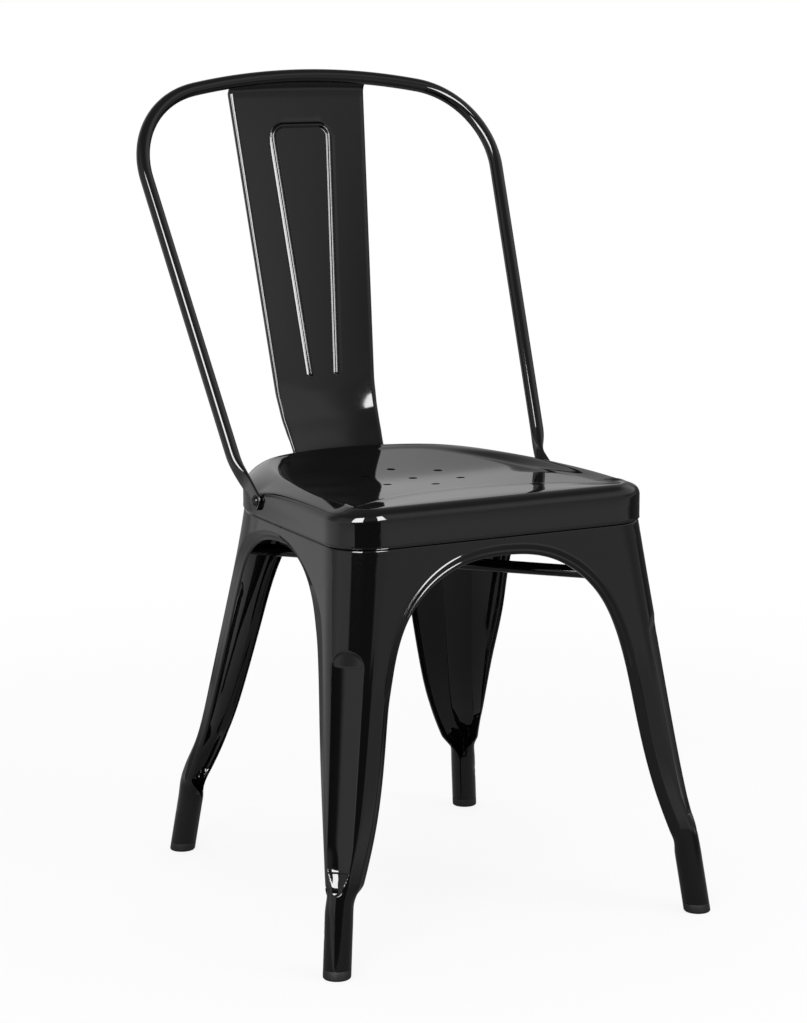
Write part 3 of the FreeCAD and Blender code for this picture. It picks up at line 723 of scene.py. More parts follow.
# Points along half a ring of the seat, and where its corners end
FRONT_STEPS, CORNER_STEPS, SIDE_STEPS, REAR_CORNER_STEPS, REAR_STEPS = 20, 16, 26, 34, 3
CORNER_START = FRONT_STEPS + 1
CORNER_END = CORNER_START + CORNER_STEPS
SIDE_END = CORNER_END + SIDE_STEPS + 1


def straight(a, b, count):
    """Points from a to b without either end."""
    return [Vector(a).lerp(Vector(b), (i + 1) / (count + 1)) for i in range(count)]


def seat_ring(inset):
    """Right half of the seat's outline, from the middle of its front to the middle of its rear."""
    front = Vector((SEAT_FRONT_HALF - inset, SEAT_FRONT + inset))
    rear = Vector((SEAT_REAR_HALF - inset, SEAT_REAR - inset))
    front_arc = round_corner((0, front.y), front, rear, SEAT_FRONT_RADIUS - inset, CORNER_STEPS)
    rear_arc = round_corner(front, rear, (0, rear.y), SEAT_REAR_RADIUS - inset, REAR_CORNER_STEPS)
    return ([Vector((0, front.y))] + straight((0, front.y), front_arc[0], FRONT_STEPS) + front_arc
            + straight(front_arc[-1], rear_arc[0], SIDE_STEPS) + rear_arc
            + straight(rear_arc[-1], (0, rear.y), REAR_STEPS) + [Vector((0, rear.y))])


CREASE_FRONT_MIDDLE = -98.0
CREASE_FRONT_BOW = 27.0
CREASE_FRONT_X = 150.0
CREASE_SIDE = ((156.0, -150.0), (157.0, -98.0), (152.5, -42.0), (139.0, 35.0), (123.0, 80.0),
               (107.0, 115.0), (93.0, 137.0), (72.0, 150.0), (44.0, 156.0), (8.0, 158.0))
CREASE_REAR = 158.0


def crease_ring():
    """Right half of the line where the dished floor meets its rails."""
    front = []
    for i in range(CORNER_START + 1):
        x = CREASE_FRONT_X * i / CORNER_START
        front.append(Vector((x, CREASE_FRONT_MIDDLE - CREASE_FRONT_BOW * (x / 100.0) ** 2)))
    corner = front[-1]
    side_front = Vector(CREASE_SIDE[0])
    knee = Vector((side_front.x + 2.0, corner.y + 1.0))
    arc = []
    for i in range(1, CORNER_STEPS + 1):
        share = i / CORNER_STEPS
        arc.append(corner * (1 - share) ** 2 + knee * 2 * share * (1 - share)
                   + side_front * share ** 2)
    curve = Route(smooth_curve(CREASE_SIDE))
    outer = seat_ring(0.0)
    side = [Vector(curve.at(curve.where(1, point.y))) for point in outer[CORNER_END + 1:SIDE_END]]
    start = curve.where(1, outer[SIDE_END].y)
    rear_arc = [Vector(curve.at(between(start, curve.length, i / REAR_CORNER_STEPS)))
                for i in range(REAR_CORNER_STEPS + 1)]
    middle = Vector((0.0, CREASE_REAR))
    return front + arc + side + rear_arc + straight(rear_arc[-1], middle, REAR_STEPS) + [middle]


FLOOR_MIDDLE = 439.5
FLOOR_SLOPE = 0.053
FLOOR_VALLEY = 22.0
FLOOR_BOW = 0.00013
FLOOR_BOW_START = -160.0
FLOOR_BOW_RUN = 120.0
FLOOR_WALL = 0.1
FLOOR_SHARES = (tuple(1.0 - i / 60 for i in range(1, 8))
                + tuple(0.88 * (1 - i / 18) for i in range(1, 19)))


def floor_height(spot):
    """Height of the dished floor: two slopes that meet under the holes, bowed up to its sides."""
    slope = math.hypot(spot.y, FLOOR_VALLEY) - FLOOR_VALLEY
    bow = FLOOR_BOW * spot.x ** 2 * ease((spot.y - FLOOR_BOW_START) / FLOOR_BOW_RUN)
    return FLOOR_MIDDLE + FLOOR_SLOPE * slope + bow


# Inset and height of the rings of the skirt, from its folded hem up
SKIRT_RINGS = ((0.9, 411.3), (0.2, 411.5), (-0.14, 411.9), (-0.2, 412.4), (-0.14, 412.9),
               (-0.02, 413.3), (0.0, 414.0), (0.0, 423.0), (0.0, 426.0))
ROLL_ROWS = 14
ROLL_START = 437.0
ROLL_WIDTH = 13.0
RIM_TOP = 449.7
RIM_TOP_REAR = 448.5
CREASE_HIGHEST = 449.6
CREASE_SIDE_HEIGHT = 449.9
CREASE_REAR_HEIGHT = 447.6
RAIL_WIDTH = 0.97
RAIL_FADE = 1.15
STEPS_TO_CREASE = (0.25, 0.5, 0.75, 1.0)
# Mean slope of the side rails by y
BEVEL_SLOPES = ((-150.0, 0.34), (-42.0, 0.35), (-20.0, 0.38), (19.0, 0.5))
BEVEL_CREASE_SLOPE = 0.32
BEVEL_LOWEST = 437.5
BEVEL_RADIUS = 9.0
BEVEL_ARC_WIDTH = 0.6 * BEVEL_RADIUS
BEVEL_TOP = SEAT_HEIGHT - 0.1
BEVEL_ARC_ROWS = 7


def bevel(step, width, y):
    """A row of the side rail: an arc at its outer edge, then a slope that eases to the crease."""
    mean = float(np.interp(y, *zip(*BEVEL_SLOPES)))
    mean = min(mean, (BEVEL_TOP - BEVEL_LOWEST) / (width - BEVEL_ARC_WIDTH))
    steepest = 2 * mean - min(mean, BEVEL_CREASE_SLOPE)
    arc_end = math.pi / 2 - math.atan(steepest)
    arc_across = BEVEL_RADIUS * (1 - math.cos(arc_end))
    if step <= BEVEL_ARC_ROWS:
        turn = arc_end * step / BEVEL_ARC_ROWS
        rise = BEVEL_RADIUS * (math.sin(turn) - math.sin(arc_end))
        return BEVEL_RADIUS * (1 - math.cos(turn)), BEVEL_TOP - mean * (width - arc_across) + rise
    share = 1 - (step - BEVEL_ARC_ROWS) / (ROLL_ROWS - BEVEL_ARC_ROWS)
    away = share * (width - arc_across)
    drop = (2 * mean - steepest) * away + (steepest - mean) * away * share
    return width - away, BEVEL_TOP - drop


def side_shares(count):
    """How much each point of a ring belongs to a side rail: 0 at the front and at the rear."""
    shares = []
    for i in range(count):
        if i <= CORNER_END:
            shares.append(ease((i - CORNER_START) / CORNER_STEPS))
        elif i <= SIDE_END:
            shares.append(1.0)
        else:
            shares.append(1.0 - ease((i - SIDE_END) / (count - SIDE_END) * RAIL_FADE))
    return shares


def seat_rows():
    """Rings of the pressed seat from the hem of its skirt over the rim to the middle hole."""
    outer, crease = seat_ring(0.0), crease_ring()
    count = len(outer)
    sides = side_shares(count)
    rows = [[Vector((p.x, p.y, z)) for p in seat_ring(inset)] for inset, z in SKIRT_RINGS]
    for step in range(ROLL_ROWS + 1):
        angle = step / ROLL_ROWS * math.pi / 2
        row = []
        for i in range(count):
            width = (crease[i] - outer[i]).length
            top = RIM_TOP if i < count / 2 else RIM_TOP_REAR
            rolled = (ROLL_WIDTH * (1 - math.cos(angle)), between(ROLL_START, top, math.sin(angle)))
            railed = bevel(step, RAIL_WIDTH * width, outer[i].y)
            across, z = Vector(rolled).lerp(Vector(railed), sides[i])
            spot = outer[i].lerp(crease[i], across / width)
            row.append(Vector((spot.x, spot.y, z)))
        rows.append(row)
    heights = []
    for i, rim in enumerate(crease):
        low = floor_height(rim) if i < count / 2 else CREASE_REAR_HEIGHT
        heights.append(between(min(low, CREASE_HIGHEST), CREASE_SIDE_HEIGHT, sides[i]))
    last = rows[-1]
    for share in STEPS_TO_CREASE:
        row = []
        for start, rim, height in zip(last, crease, heights):
            spot = start.xy.lerp(rim, share)
            row.append(Vector((spot.x, spot.y, between(start.z, height, share))))
        rows.append(row)
    for share in FLOOR_SHARES:
        wall = ease((share - (1.0 - FLOOR_WALL)) / FLOOR_WALL)
        row = []
        for rim, height in zip(crease, heights):
            spot = (rim.normalized() * HOLE_RADIUS).lerp(rim, share)
            row.append(Vector((spot.x, spot.y, between(floor_height(spot), height, wall))))
        rows.append(row)
    return rows


def whole_ring(half):
    """Both halves of a ring, its right half first."""
    return half + [Vector((-p.x, p.y, p.z)) for p in reversed(half)]


def drill_down(piece, spots, radius):
    """Drill round holes straight down through the piece."""
    drills = []
    for spot in spots:
        bpy.ops.mesh.primitive_cylinder_add(vertices=DRILL_SIDES, radius=radius * MM,
                                            depth=2 * DRILL_REACH * MM, location=place(*spot))
        drills.append(bpy.context.object)
    drill = join(drills)
    finish_with(piece, "BOOLEAN", object=drill, operation="DIFFERENCE", solver="EXACT")
    bpy.data.objects.remove(drill)


def make_seat():
    rings = [whole_ring(row) for row in seat_rows()]
    seat = placed_grid("seat", [ring + ring[:1] for ring in rings])
    weld(seat)
    outward_faces(seat)
    finish_with(seat, "SOLIDIFY", thickness=SHEET * MM, offset=-1.0, use_even_offset=True)
    spots = []
    for i in range(HOLE_RING_COUNT):
        angle = math.pi / 2 + i * 2 * math.pi / HOLE_RING_COUNT
        x, y = HOLE_RING_RADIUS * math.cos(angle), HOLE_RING_RADIUS * math.sin(angle)
        spots.append((x, y, FLOOR_MIDDLE))
    drill_down(seat, spots, HOLE_RADIUS)
    smooth(seat, SEAT_SMOOTH)
    add_to_chair(seat, "seat_pan")
    return seat


# Hoop


def hoop_point(x, along):
    """Point in the hoop's leaning plane; along is measured up the slope from its top."""
    rise = along / math.sqrt(1 + HOOP_LEAN ** 2)
    return Vector((x, HOOP_TOP_Y + HOOP_LEAN * rise, BACK_HEIGHT - HOOP_DIAMETER / 2 + rise))


HOOP_TOP_STEPS, HOOP_CORNER_STEPS, HOOP_SIDE_STEPS = 14, 24, 12


def hoop_half_path():
    """Centreline from the middle of the top down the right side to its straight end."""
    stretch = math.sqrt(1 + HOOP_SIDE_SLOPE ** 2)
    bend_x = HOOP_HALF_WIDTH - HOOP_CORNER_RADIUS
    reach = HOOP_TOP_RADIUS - HOOP_CORNER_RADIUS
    bend_along = math.sqrt(reach ** 2 - bend_x ** 2) - HOOP_TOP_RADIUS
    to_bend = math.atan2(bend_x, bend_along + HOOP_TOP_RADIUS)
    out_angle = math.atan2(-HOOP_SIDE_SLOPE / stretch, 1 / stretch)
    points = []
    for i in range(HOOP_TOP_STEPS):
        angle = to_bend * i / HOOP_TOP_STEPS
        points.append((HOOP_TOP_RADIUS * math.sin(angle), HOOP_TOP_RADIUS * (math.cos(angle) - 1)))
    for i in range(HOOP_CORNER_STEPS + 1):
        angle = between(math.pi / 2 - to_bend, out_angle, i / HOOP_CORNER_STEPS)
        points.append((bend_x + HOOP_CORNER_RADIUS * math.cos(angle),
                       bend_along + HOOP_CORNER_RADIUS * math.sin(angle)))
    side = points[-1]
    slant = math.sqrt(1 + HOOP_LEAN ** 2)
    low_along = (HOOP_STRAIGHT_END - BACK_HEIGHT + HOOP_DIAMETER / 2) * slant
    low = (side[0] + HOOP_SIDE_SLOPE * (low_along - side[1]), low_along)
    for i in range(1, HOOP_SIDE_STEPS + 1):
        points.append([between(a, b, i / HOOP_SIDE_STEPS) for a, b in zip(side, low)])
    return [hoop_point(*point) for point in points]


def seat_side_x(y):
    return between(SEAT_FRONT_HALF, SEAT_REAR_HALF, (y - SEAT_FRONT) / (SEAT_REAR - SEAT_FRONT))


def tab_centre():
    x = seat_side_x(TAB_Y - TAB_WIDTH / 2) + FIT_GAP / 2 + TAB_THICKNESS / 2
    return Vector((x, TAB_Y, SEAT_HEIGHT - TAB_DROP))


AROUND = 48
PRESSED_ROUND = 0.55
NECK_STEPS, TAB_STEPS = 16, 18
NECK_PULL = 1.25
NECK_LOOK = 0.02
NECK_TURN = 1.4


def pressed_ring(centre, along, wide_way, width, thickness):
    """Ring of a tube that is pressed to this width and thickness."""
    along = along.normalized()
    across = along.cross(wide_way).normalized()
    wide = across.cross(along).normalized()
    r = thickness / 2
    half = (width - thickness) / 2
    ring = []
    for i in range(AROUND):
        turn = 2 * math.pi * i / AROUND
        side = max(-1.0, min(1.0, math.cos(turn) / PRESSED_ROUND))
        out = half * side + r * math.cos(turn)
        ring.append(centre + wide * out + across * r * math.sin(turn))
    return ring


def hermite(a, a_way, b, b_way, share):
    s2, s3 = share ** 2, share ** 3
    return (a * (2 * s3 - 3 * s2 + 1) + a_way * (s3 - 2 * s2 + share)
            + b * (3 * s2 - 2 * s3) + b_way * (s3 - s2))


def make_hoop():
    """The bent tube with both ends pressed flat into round-ended tabs."""
    path = hoop_half_path()
    face_way = Vector((0, -1, HOOP_LEAN)).normalized()
    rings = []
    for i, point in enumerate(path):
        before = path[i - 1] if i else Vector((-path[1].x, path[1].y, path[1].z))
        after = path[i + 1] if i + 1 < len(path) else point * 2 - path[i - 1]
        rings.append(pressed_ring(point, after - before, face_way, HOOP_DIAMETER, HOOP_DIAMETER))
    low = path[-1]
    down = (path[-1] - path[-2]).normalized()
    tab_way = Vector((0, -1, -TAB_SLOPE)).normalized()
    tab_wide = Vector((0, -TAB_SLOPE, 1))
    start = tab_centre() - tab_way * TAB_STRAIGHT
    reach = (start - low).length

    def neck(share):
        """Centreline between the end of the tube's straight and the tab."""
        return hermite(low, down * reach * NECK_PULL, start, tab_way * reach, share)

    for i in range(1, NECK_STEPS + 1):
        share = i / NECK_STEPS
        along = neck(min(1.0, share + NECK_LOOK)) - neck(share - NECK_LOOK)
        width = between(HOOP_DIAMETER, TAB_WIDTH, ease(share))
        thickness = between(HOOP_DIAMETER, TAB_THICKNESS, ease(share))
        wide_way = face_way.lerp(tab_wide.normalized(), ease(share * NECK_TURN))
        rings.append(pressed_ring(neck(share), along, wide_way, width, thickness))
    half = TAB_WIDTH / 2
    tip = TAB_STRAIGHT + half - TAB_THICKNESS / 2
    for i in range(1, TAB_STEPS + 1):
        distance = tip * math.sin(i / TAB_STEPS * math.pi / 2)
        over = max(0.0, distance - TAB_STRAIGHT)
        width = 2 * math.sqrt(max(half ** 2 - over ** 2, 1.0))
        centre = start + tab_way * distance
        rings.append(pressed_ring(centre, tab_way, tab_wide, width, TAB_THICKNESS))
    left = [[Vector((-p.x, p.y, p.z)) for p in ring] for ring in reversed(rings[1:])]
    hoop = placed_grid("back_hoop_tube", [row + row[:1] for row in left + rings])
    weld(hoop)
    mesh = bpy.ops.mesh
    edit_all(hoop, lambda: mesh.select_all(action="DESELECT"), mesh.select_non_manifold, mesh.fill,
             lambda: mesh.select_all(action="SELECT"),
             lambda: mesh.normals_make_consistent(inside=False))
    smooth(hoop, HOOP_SMOOTH)
    add_to_chair(hoop, "back_hoop")
    return hoop


# Splat


def seat_rear_centre_x():
    taper = math.atan2(SEAT_FRONT_HALF - SEAT_REAR_HALF, SEAT_REAR - SEAT_FRONT)
    return SEAT_REAR_HALF - SEAT_REAR_RADIUS / math.tan((math.pi / 2 + taper) / 2)


def seat_rear_wall_y(x):
    over = x - seat_rear_centre_x()
    return SEAT_REAR - SEAT_REAR_RADIUS + math.sqrt(SEAT_REAR_RADIUS ** 2 - over ** 2)


FOOT_HOLLOW = SEAT_REAR + SPLAT_FOOT_SETBACK - seat_rear_wall_y(SPLAT_FOOT_HALF) - SPLAT_FOOT_GAP
BEND_TOP = SPLAT_FOOT + SPLAT_BEND[-1][0]


def splat_section(z):
    """Setback of the edges, hollow and half width of the splat at height z."""
    rise = z - SPLAT_FOOT
    if z >= BEND_TOP:
        _, setback, share, half = SPLAT_BEND[-1]
        above = z - BEND_TOP
        up = above / (BACK_HEIGHT - HOOP_DIAMETER - BEND_TOP)
        hollow = FOOT_HOLLOW * share
        return (SEAT_REAR + setback - hollow + SPLAT_LEAN * above,
                between(hollow, SPLAT_TOP_HOLLOW, up), half + SPLAT_SPREAD * above)
    if rise <= SPLAT_FOOT_STRAIGHT:
        return SEAT_REAR + SPLAT_FOOT_SETBACK - FOOT_HOLLOW, FOOT_HOLLOW, SPLAT_FOOT_HALF
    setback, percent, half = (read(SPLAT_BEND_CURVE, rise, column) for column in (1, 2, 3))
    hollow = FOOT_HOLLOW * (percent / 100.0)
    return SEAT_REAR + setback - hollow, hollow, half


SPLAT_BEND_CURVE = smooth_curve(
    [(SPLAT_FOOT_STRAIGHT, SPLAT_FOOT_SETBACK, 100.0, SPLAT_FOOT_HALF)]
    + [(rise, back, share * 100.0, half) for rise, back, share, half in SPLAT_BEND],
    start_way=(1.0, 0.0, 0.0, 0.0), end_way=(0.93, 0.19, -0.3, 0.063))


def bead_line():
    """The raised line as close points, sideways distance and height."""
    points = [Vector((-BEAD_HALF_LOW, BEAD_LOW)), Vector((-BEAD_HALF_HIGH, BEAD_HIGH)),
              Vector((BEAD_HALF_HIGH, BEAD_HIGH)), Vector((BEAD_HALF_LOW, BEAD_LOW))]
    line = [points[0]]
    for corner in (1, 2):
        line += round_corner(*points[corner - 1:corner + 2], BEAD_CORNER, BEAD_CORNER_STEPS)
    return np.array([tuple(p) for p in line + [points[3]]])


BEAD_LINE = bead_line()


def bead_rise(x, z):
    """How far the raised line stands out at this place on the splat."""
    if abs(x) > 2 * BEAD_HALF_HIGH or z < BEAD_LOW - BEAD_WIDTH or z > BEAD_HIGH + BEAD_WIDTH:
        return 0.0
    starts, ends = BEAD_LINE[:-1], BEAD_LINE[1:]
    along = ends - starts
    share = ((np.array((x, z)) - starts) * along).sum(1) / (along ** 2).sum(1)
    nearest = starts + along * np.clip(share, 0.0, 1.0)[:, None]
    distance = float(np.min(np.linalg.norm(np.array((x, z)) - nearest, axis=1)))
    inside = min(1.0, max(0.0, BEAD_FLAT * (1.0 - distance / (BEAD_WIDTH / 2))))
    return BEAD_RISE * between(inside, ease(inside), BEAD_SOFTNESS)


BEAD_COLUMNS = ((-14.0, -3.4, 12), (-3.4, 3.4, 18))
BEAD_COLUMNS_HALF_LOW, BEAD_COLUMNS_HALF_HIGH = 15.5, 36.0
MIDDLE_COLUMNS = 4
OUTER_COLUMNS = 10
# Turned edge: how far out and how far back, in its radii
RETURN_TURN = ((0.25, 0.06), (0.5, 0.21), (0.72, 0.42), (0.88, 0.66), (0.97, 0.88), (1.0, 1.1))
RETURN_START = 446.0
RETURN_RUN = 20.0
SPLAT_EDGE_RADIUS = 2.2
RETURN_LEAST = 1.3 * SPLAT_EDGE_RADIUS
SPLAT_ROWS = ((SPLAT_FOOT, 444.0, 7.0), (444.0, 450.0, 0.5), (450.0, 523.0, 2.5),
              (523.0, 530.5, 0.6), (530.5, 786.0, 8.0), (786.0, 801.5, 0.5))
SPLAT_TOP_ROWS = 6.0
CURL_STEPS = 16
CURL_RETURN = 1.6
LIP_LEAST = 0.3


def splat_columns(z, half):
    """Sideways places of one row's points, from the middle to where its edge turns back."""
    bead = between(BEAD_HALF_LOW, BEAD_HALF_HIGH, (z - BEAD_LOW) / (BEAD_HIGH - BEAD_LOW))
    bead = min(max(bead, BEAD_COLUMNS_HALF_LOW), BEAD_COLUMNS_HALF_HIGH)
    start = bead + BEAD_COLUMNS[0][0]
    inner = [start * i / MIDDLE_COLUMNS for i in range(MIDDLE_COLUMNS)]
    for low, high, count in BEAD_COLUMNS:
        inner += [bead + between(low, high, i / count) for i in range(count)]
    inner.append(bead + BEAD_COLUMNS[-1][1])
    edge = half - SPLAT_EDGE_RADIUS
    return inner + [between(inner[-1], edge, (i + 1) / OUTER_COLUMNS) for i in range(OUTER_COLUMNS)]


def splat_row(z_flat, point_at, half, hollow, depth):
    """One row across the splat; point_at gives a place from x and the setback behind the edges."""
    right = []
    for x in splat_columns(z_flat, half):
        right.append(point_at(x, hollow * (1 - (x / half) ** 2) - bead_rise(x, z_flat)))
    edge = half - SPLAT_EDGE_RADIUS
    edge_back = hollow * (1 - (edge / half) ** 2)
    for out, back in RETURN_TURN:
        right.append(point_at(edge + out * SPLAT_EDGE_RADIUS, edge_back + back * SPLAT_EDGE_RADIUS))
    right.append(point_at(half, edge_back + max(depth, RETURN_LEAST)))
    return [Vector((-p.x, p.y, p.z)) for p in reversed(right[1:])] + right


def make_splat():
    """The bent back panel: foot behind the seat, raised line, turned edges, top curled forward."""
    crown = hoop_point(0, 0)
    touch_y = crown.y + HOOP_DIAMETER / 2 + FIT_GAP / 2
    bend_start = crown.z - SHEET / 2 - SPLAT_CURL_RISE
    rows = []
    for z in spread_all(*SPLAT_ROWS, (SPLAT_ROWS[-1][1], bend_start, SPLAT_TOP_ROWS)):
        edge_y, hollow, half = splat_section(z)
        depth = SPLAT_RETURN * ease((z - RETURN_START) / RETURN_RUN)

        def upright(x, back):
            return Vector((x, edge_y + back, z))

        rows.append(splat_row(z, upright, half, hollow, depth))
    edge_y, hollow, half = splat_section(bend_start)
    middle_y = edge_y + hollow
    for i in range(CURL_STEPS + 1):
        turn = i * math.pi / 2 / CURL_STEPS
        share = i / CURL_STEPS
        level = bend_start + SPLAT_CURL_RISE * math.sin(turn)
        back_y = middle_y - SPLAT_CURL_REACH * (1 - math.cos(turn))
        behind = Vector((0, math.cos(turn), -math.sin(turn)))
        row_hollow = hollow * (1 - share)

        def curled(x, back):
            along = math.sqrt(HOOP_TOP_RADIUS ** 2 - min(abs(x), half) ** 2) - HOOP_TOP_RADIUS
            drop = (hoop_point(0, along) - crown) * share
            return Vector((x, back_y - row_hollow, level)) + drop + behind * back

        depth = between(SPLAT_RETURN, CURL_RETURN, share)
        rows.append(splat_row(bend_start, curled, half, row_hollow, depth))
    lip_reach = middle_y - SPLAT_CURL_REACH - touch_y
    if lip_reach > LIP_LEAST:
        rows.append([Vector((p.x, p.y - lip_reach, p.z)) for p in rows[-1]])
    splat = placed_grid("back_splat_panel", rows)
    if sum(p.normal.y * p.area for p in splat.data.polygons) > 0:
        flip(splat)
    finish_with(splat, "SOLIDIFY", thickness=SHEET * MM, offset=-1.0, use_even_offset=False)
    smooth(splat, SPLAT_SMOOTH)
    add_to_chair(splat, "back_splat")
    return splat


# Turned pieces


def turned_piece(name, profile, centre, way, steps=40):
    """A profile of radius and height pairs, spun about an axis."""
    rows = []
    for radius, height in profile:
        ring = []
        for i in range(steps):
            turn = 2 * math.pi * i / steps
            ring.append(Vector((radius * math.cos(turn), radius * math.sin(turn), height)) * MM)
        rows.append(ring + ring[:1])
    piece = laid_grid(name, rows)
    weld(piece, 1e-6)
    turn = Vector((0, 0, 1)).rotation_difference(way).to_matrix().to_4x4()
    piece.data.transform(Matrix.Translation(place(*centre)) @ turn)
    smooth(piece, TURNED_SMOOTH)
    return piece


SHANK_CHAMFER = 0.4
HEAD_EDGE = 0.6
DOME_STEPS = 10


def dome_profile(radius, height, neck, length):
    """Domed head that stands on its neck's plane, and the shank below it."""
    ball = (radius ** 2 + height ** 2) / (2 * height)
    points = [(0.0, -length), (neck - SHANK_CHAMFER, -length), (neck, -length + SHANK_CHAMFER),
              (neck, 0.0), (radius - 0.2, 0.0), (radius, 0.15), (radius, HEAD_EDGE)]
    start = math.asin(radius / ball)
    for i in range(1, DOME_STEPS + 1):
        angle = start * (1 - i / DOME_STEPS)
        rise = ball * math.cos(angle) - ball + height
        points.append((ball * math.sin(angle), max(HEAD_EDGE, rise)))
    return points


BOLT_LENGTH = 11.0
SPLAT_BOLT_ANGLE = math.radians(11.0)


def bolt_pair(name, node, ends):
    """Two domed bolts as one piece; each end is the place under a head and the way it faces."""
    profile = dome_profile(BOLT_HEAD_RADIUS, BOLT_HEAD_HEIGHT, BOLT_RADIUS, BOLT_LENGTH)
    pair = join([turned_piece(name, profile, spot, way) for spot, way in ends])
    pair.name = pair.data.name = name
    add_to_chair(pair, node)
    return pair


def make_bolts():
    bolt = tab_centre()
    head_x = bolt.x + TAB_THICKNESS / 2 + FIT_GAP / 4
    hoop_ends = [((side * head_x, bolt.y, bolt.z), Vector((side, 0, 0))) for side in (1, -1)]
    low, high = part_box("splat_bolts")
    centre_x = seat_rear_centre_x()
    x = centre_x + SEAT_REAR_RADIUS * math.sin(SPLAT_BOLT_ANGLE)
    curve = (SPLAT_FOOT_HALF ** 2 + FOOT_HOLLOW ** 2) / (2 * FOOT_HOLLOW)
    foot_y = SEAT_REAR + SPLAT_FOOT_SETBACK - curve + math.sqrt(curve ** 2 - x ** 2)
    gap = (foot_y - seat_rear_wall_y(x)) * math.cos(SPLAT_BOLT_ANGLE)
    reach = SEAT_REAR_RADIUS + gap + SHEET + FIT_GAP / 2
    centre_y, centre_z = SEAT_REAR - SEAT_REAR_RADIUS, (low.z + high.z) / 2 / MM
    splat_ends = []
    for side in (1, -1):
        way = Vector((side * math.sin(SPLAT_BOLT_ANGLE), math.cos(SPLAT_BOLT_ANGLE), 0))
        splat_ends.append((Vector((side * centre_x, centre_y, centre_z)) + way * reach, way))
    return [bolt_pair("hoop_bolt_pair", "hoop_bolts", hoop_ends),
            bolt_pair("splat_bolt_pair", "splat_bolts", splat_ends)]


GLIDE_PROFILE = ((0.0, 0.6), (9.0, 0.6), (9.6, 0.0), (12.2, 0.0), (13.3, 0.35), (13.9, 1.2),
                 (14.0, 2.4), (14.0, 8.9), (13.85, 9.5), (13.4, 9.8), (12.3, 9.8), (12.2, 12.0),
                 (11.6, 25.0), (11.0, 26.0), (0.0, 26.0))


def make_glides():
    """Plastic feet: a cup that carries the tube, its plug hidden inside."""
    glides = []
    for end, place_name, foot in ((-1, "front", FRONT_FOOT), (1, "rear", REAR_FOOT)):
        lean = (foot_centre(GLIDE_HEIGHT, end) - Vector(foot)) / GLIDE_HEIGHT
        for side, side_name in ((1, "right"), (-1, "left")):
            glide = turned_piece(f"{place_name}_foot_{side_name}", GLIDE_PROFILE, (0, -SEAT_Y, 0),
                                 Vector((0, 0, 1)), 48)
            slant = Matrix.Identity(4)
            slant[0][2] = lean.x * side
            slant[1][2] = lean.y
            glide.data.transform(Matrix.Translation(place(side * foot[0], foot[1], 0)) @ slant)
            add_to_chair(glide, f"foot_glide_{place_name}_{side_name}")
            glides.append(glide)
    return glides


# Materials


class Sum:
    """One number in a material, on which the usual signs add its maths."""

    def __init__(self, shader, socket):
        self.shader, self.socket = shader, socket

    def __add__(self, other):
        return self.shader.maths("ADD", self, other)

    def __radd__(self, other):
        return self.shader.maths("ADD", other, self)

    def __sub__(self, other):
        return self.shader.maths("SUBTRACT", self, other)

    def __rsub__(self, other):
        return self.shader.maths("SUBTRACT", other, self)

    def __mul__(self, other):
        return self.shader.maths("MULTIPLY", self, other)

    def __rmul__(self, other):
        return self.shader.maths("MULTIPLY", other, self)

    def __neg__(self):
        return self.shader.maths("MULTIPLY", -1.0, self)


class Shader:
    """Nodes of one material or of the world."""

    def __init__(self, owner):
        owner.use_nodes = True
        self.tree = owner.node_tree
        self.tree.nodes.clear()

    def node(self, kind, settings=None, inputs=None):
        made = self.tree.nodes.new(kind)
        for name, value in (settings or {}).items():
            setattr(made, name, value)
        for name, value in (inputs or {}).items():
            if isinstance(value, Sum):
                value = value.socket
            if isinstance(value, bpy.types.NodeSocket):
                self.tree.links.new(value, made.inputs[name])
            else:
                made.inputs[name].default_value = value
        return made

    def maths(self, operation, *values):
        made = self.node("ShaderNodeMath", {"operation": operation}, dict(enumerate(values)))
        return Sum(self, made.outputs[0])

    def span(self, value, low, high):
        """0 up to low, 1 from high, smooth between them."""
        made = self.node("ShaderNodeMapRange", {"interpolation_type": "SMOOTHSTEP"},
                         {"Value": value, "From Min": low, "From Max": high,
                          "To Min": 0.0, "To Max": 1.0})
        return Sum(self, made.outputs[0])

    def noise(self, where, scale, detail=2.0):
        made = self.node("ShaderNodeTexNoise", {},
                         {"Vector": where, "Scale": scale, "Detail": detail})
        return Sum(self, made.outputs[0])

    def where(self, kind="Object"):
        return self.node("ShaderNodeTexCoord").outputs[kind]

    def parts(self, vector):
        """The x, y and z of a vector."""
        split = self.node("ShaderNodeSeparateXYZ", {}, {0: vector})
        return [Sum(self, socket) for socket in split.outputs]

    def is_ray(self, kind):
        return Sum(self, self.node("ShaderNodeLightPath").outputs[f"Is {kind} Ray"])

    def tint(self, share, first, second):
        """A colour between two."""
        return self.node("ShaderNodeMix", {"data_type": "RGBA"},
                         {0: share, 6: (*first, 1.0), 7: (*second, 1.0)}).outputs[2]

    def bump(self, height, strength, distance):
        return self.node("ShaderNodeBump", {}, {"Height": height, "Strength": strength,
                                                "Distance": distance}).outputs[0]

    def surface(self, kind, inputs, output="ShaderNodeOutputMaterial"):
        """The node that the light meets, joined to the output."""
        self.node(output, {}, {"Surface": self.node(kind, {}, inputs).outputs[0]})


def new_material(name):
    material = bpy.data.materials.new(name)
    return material, Shader(material)


def scaled(colour, *shares):
    return [value * share for value, share in zip(colour, shares)]


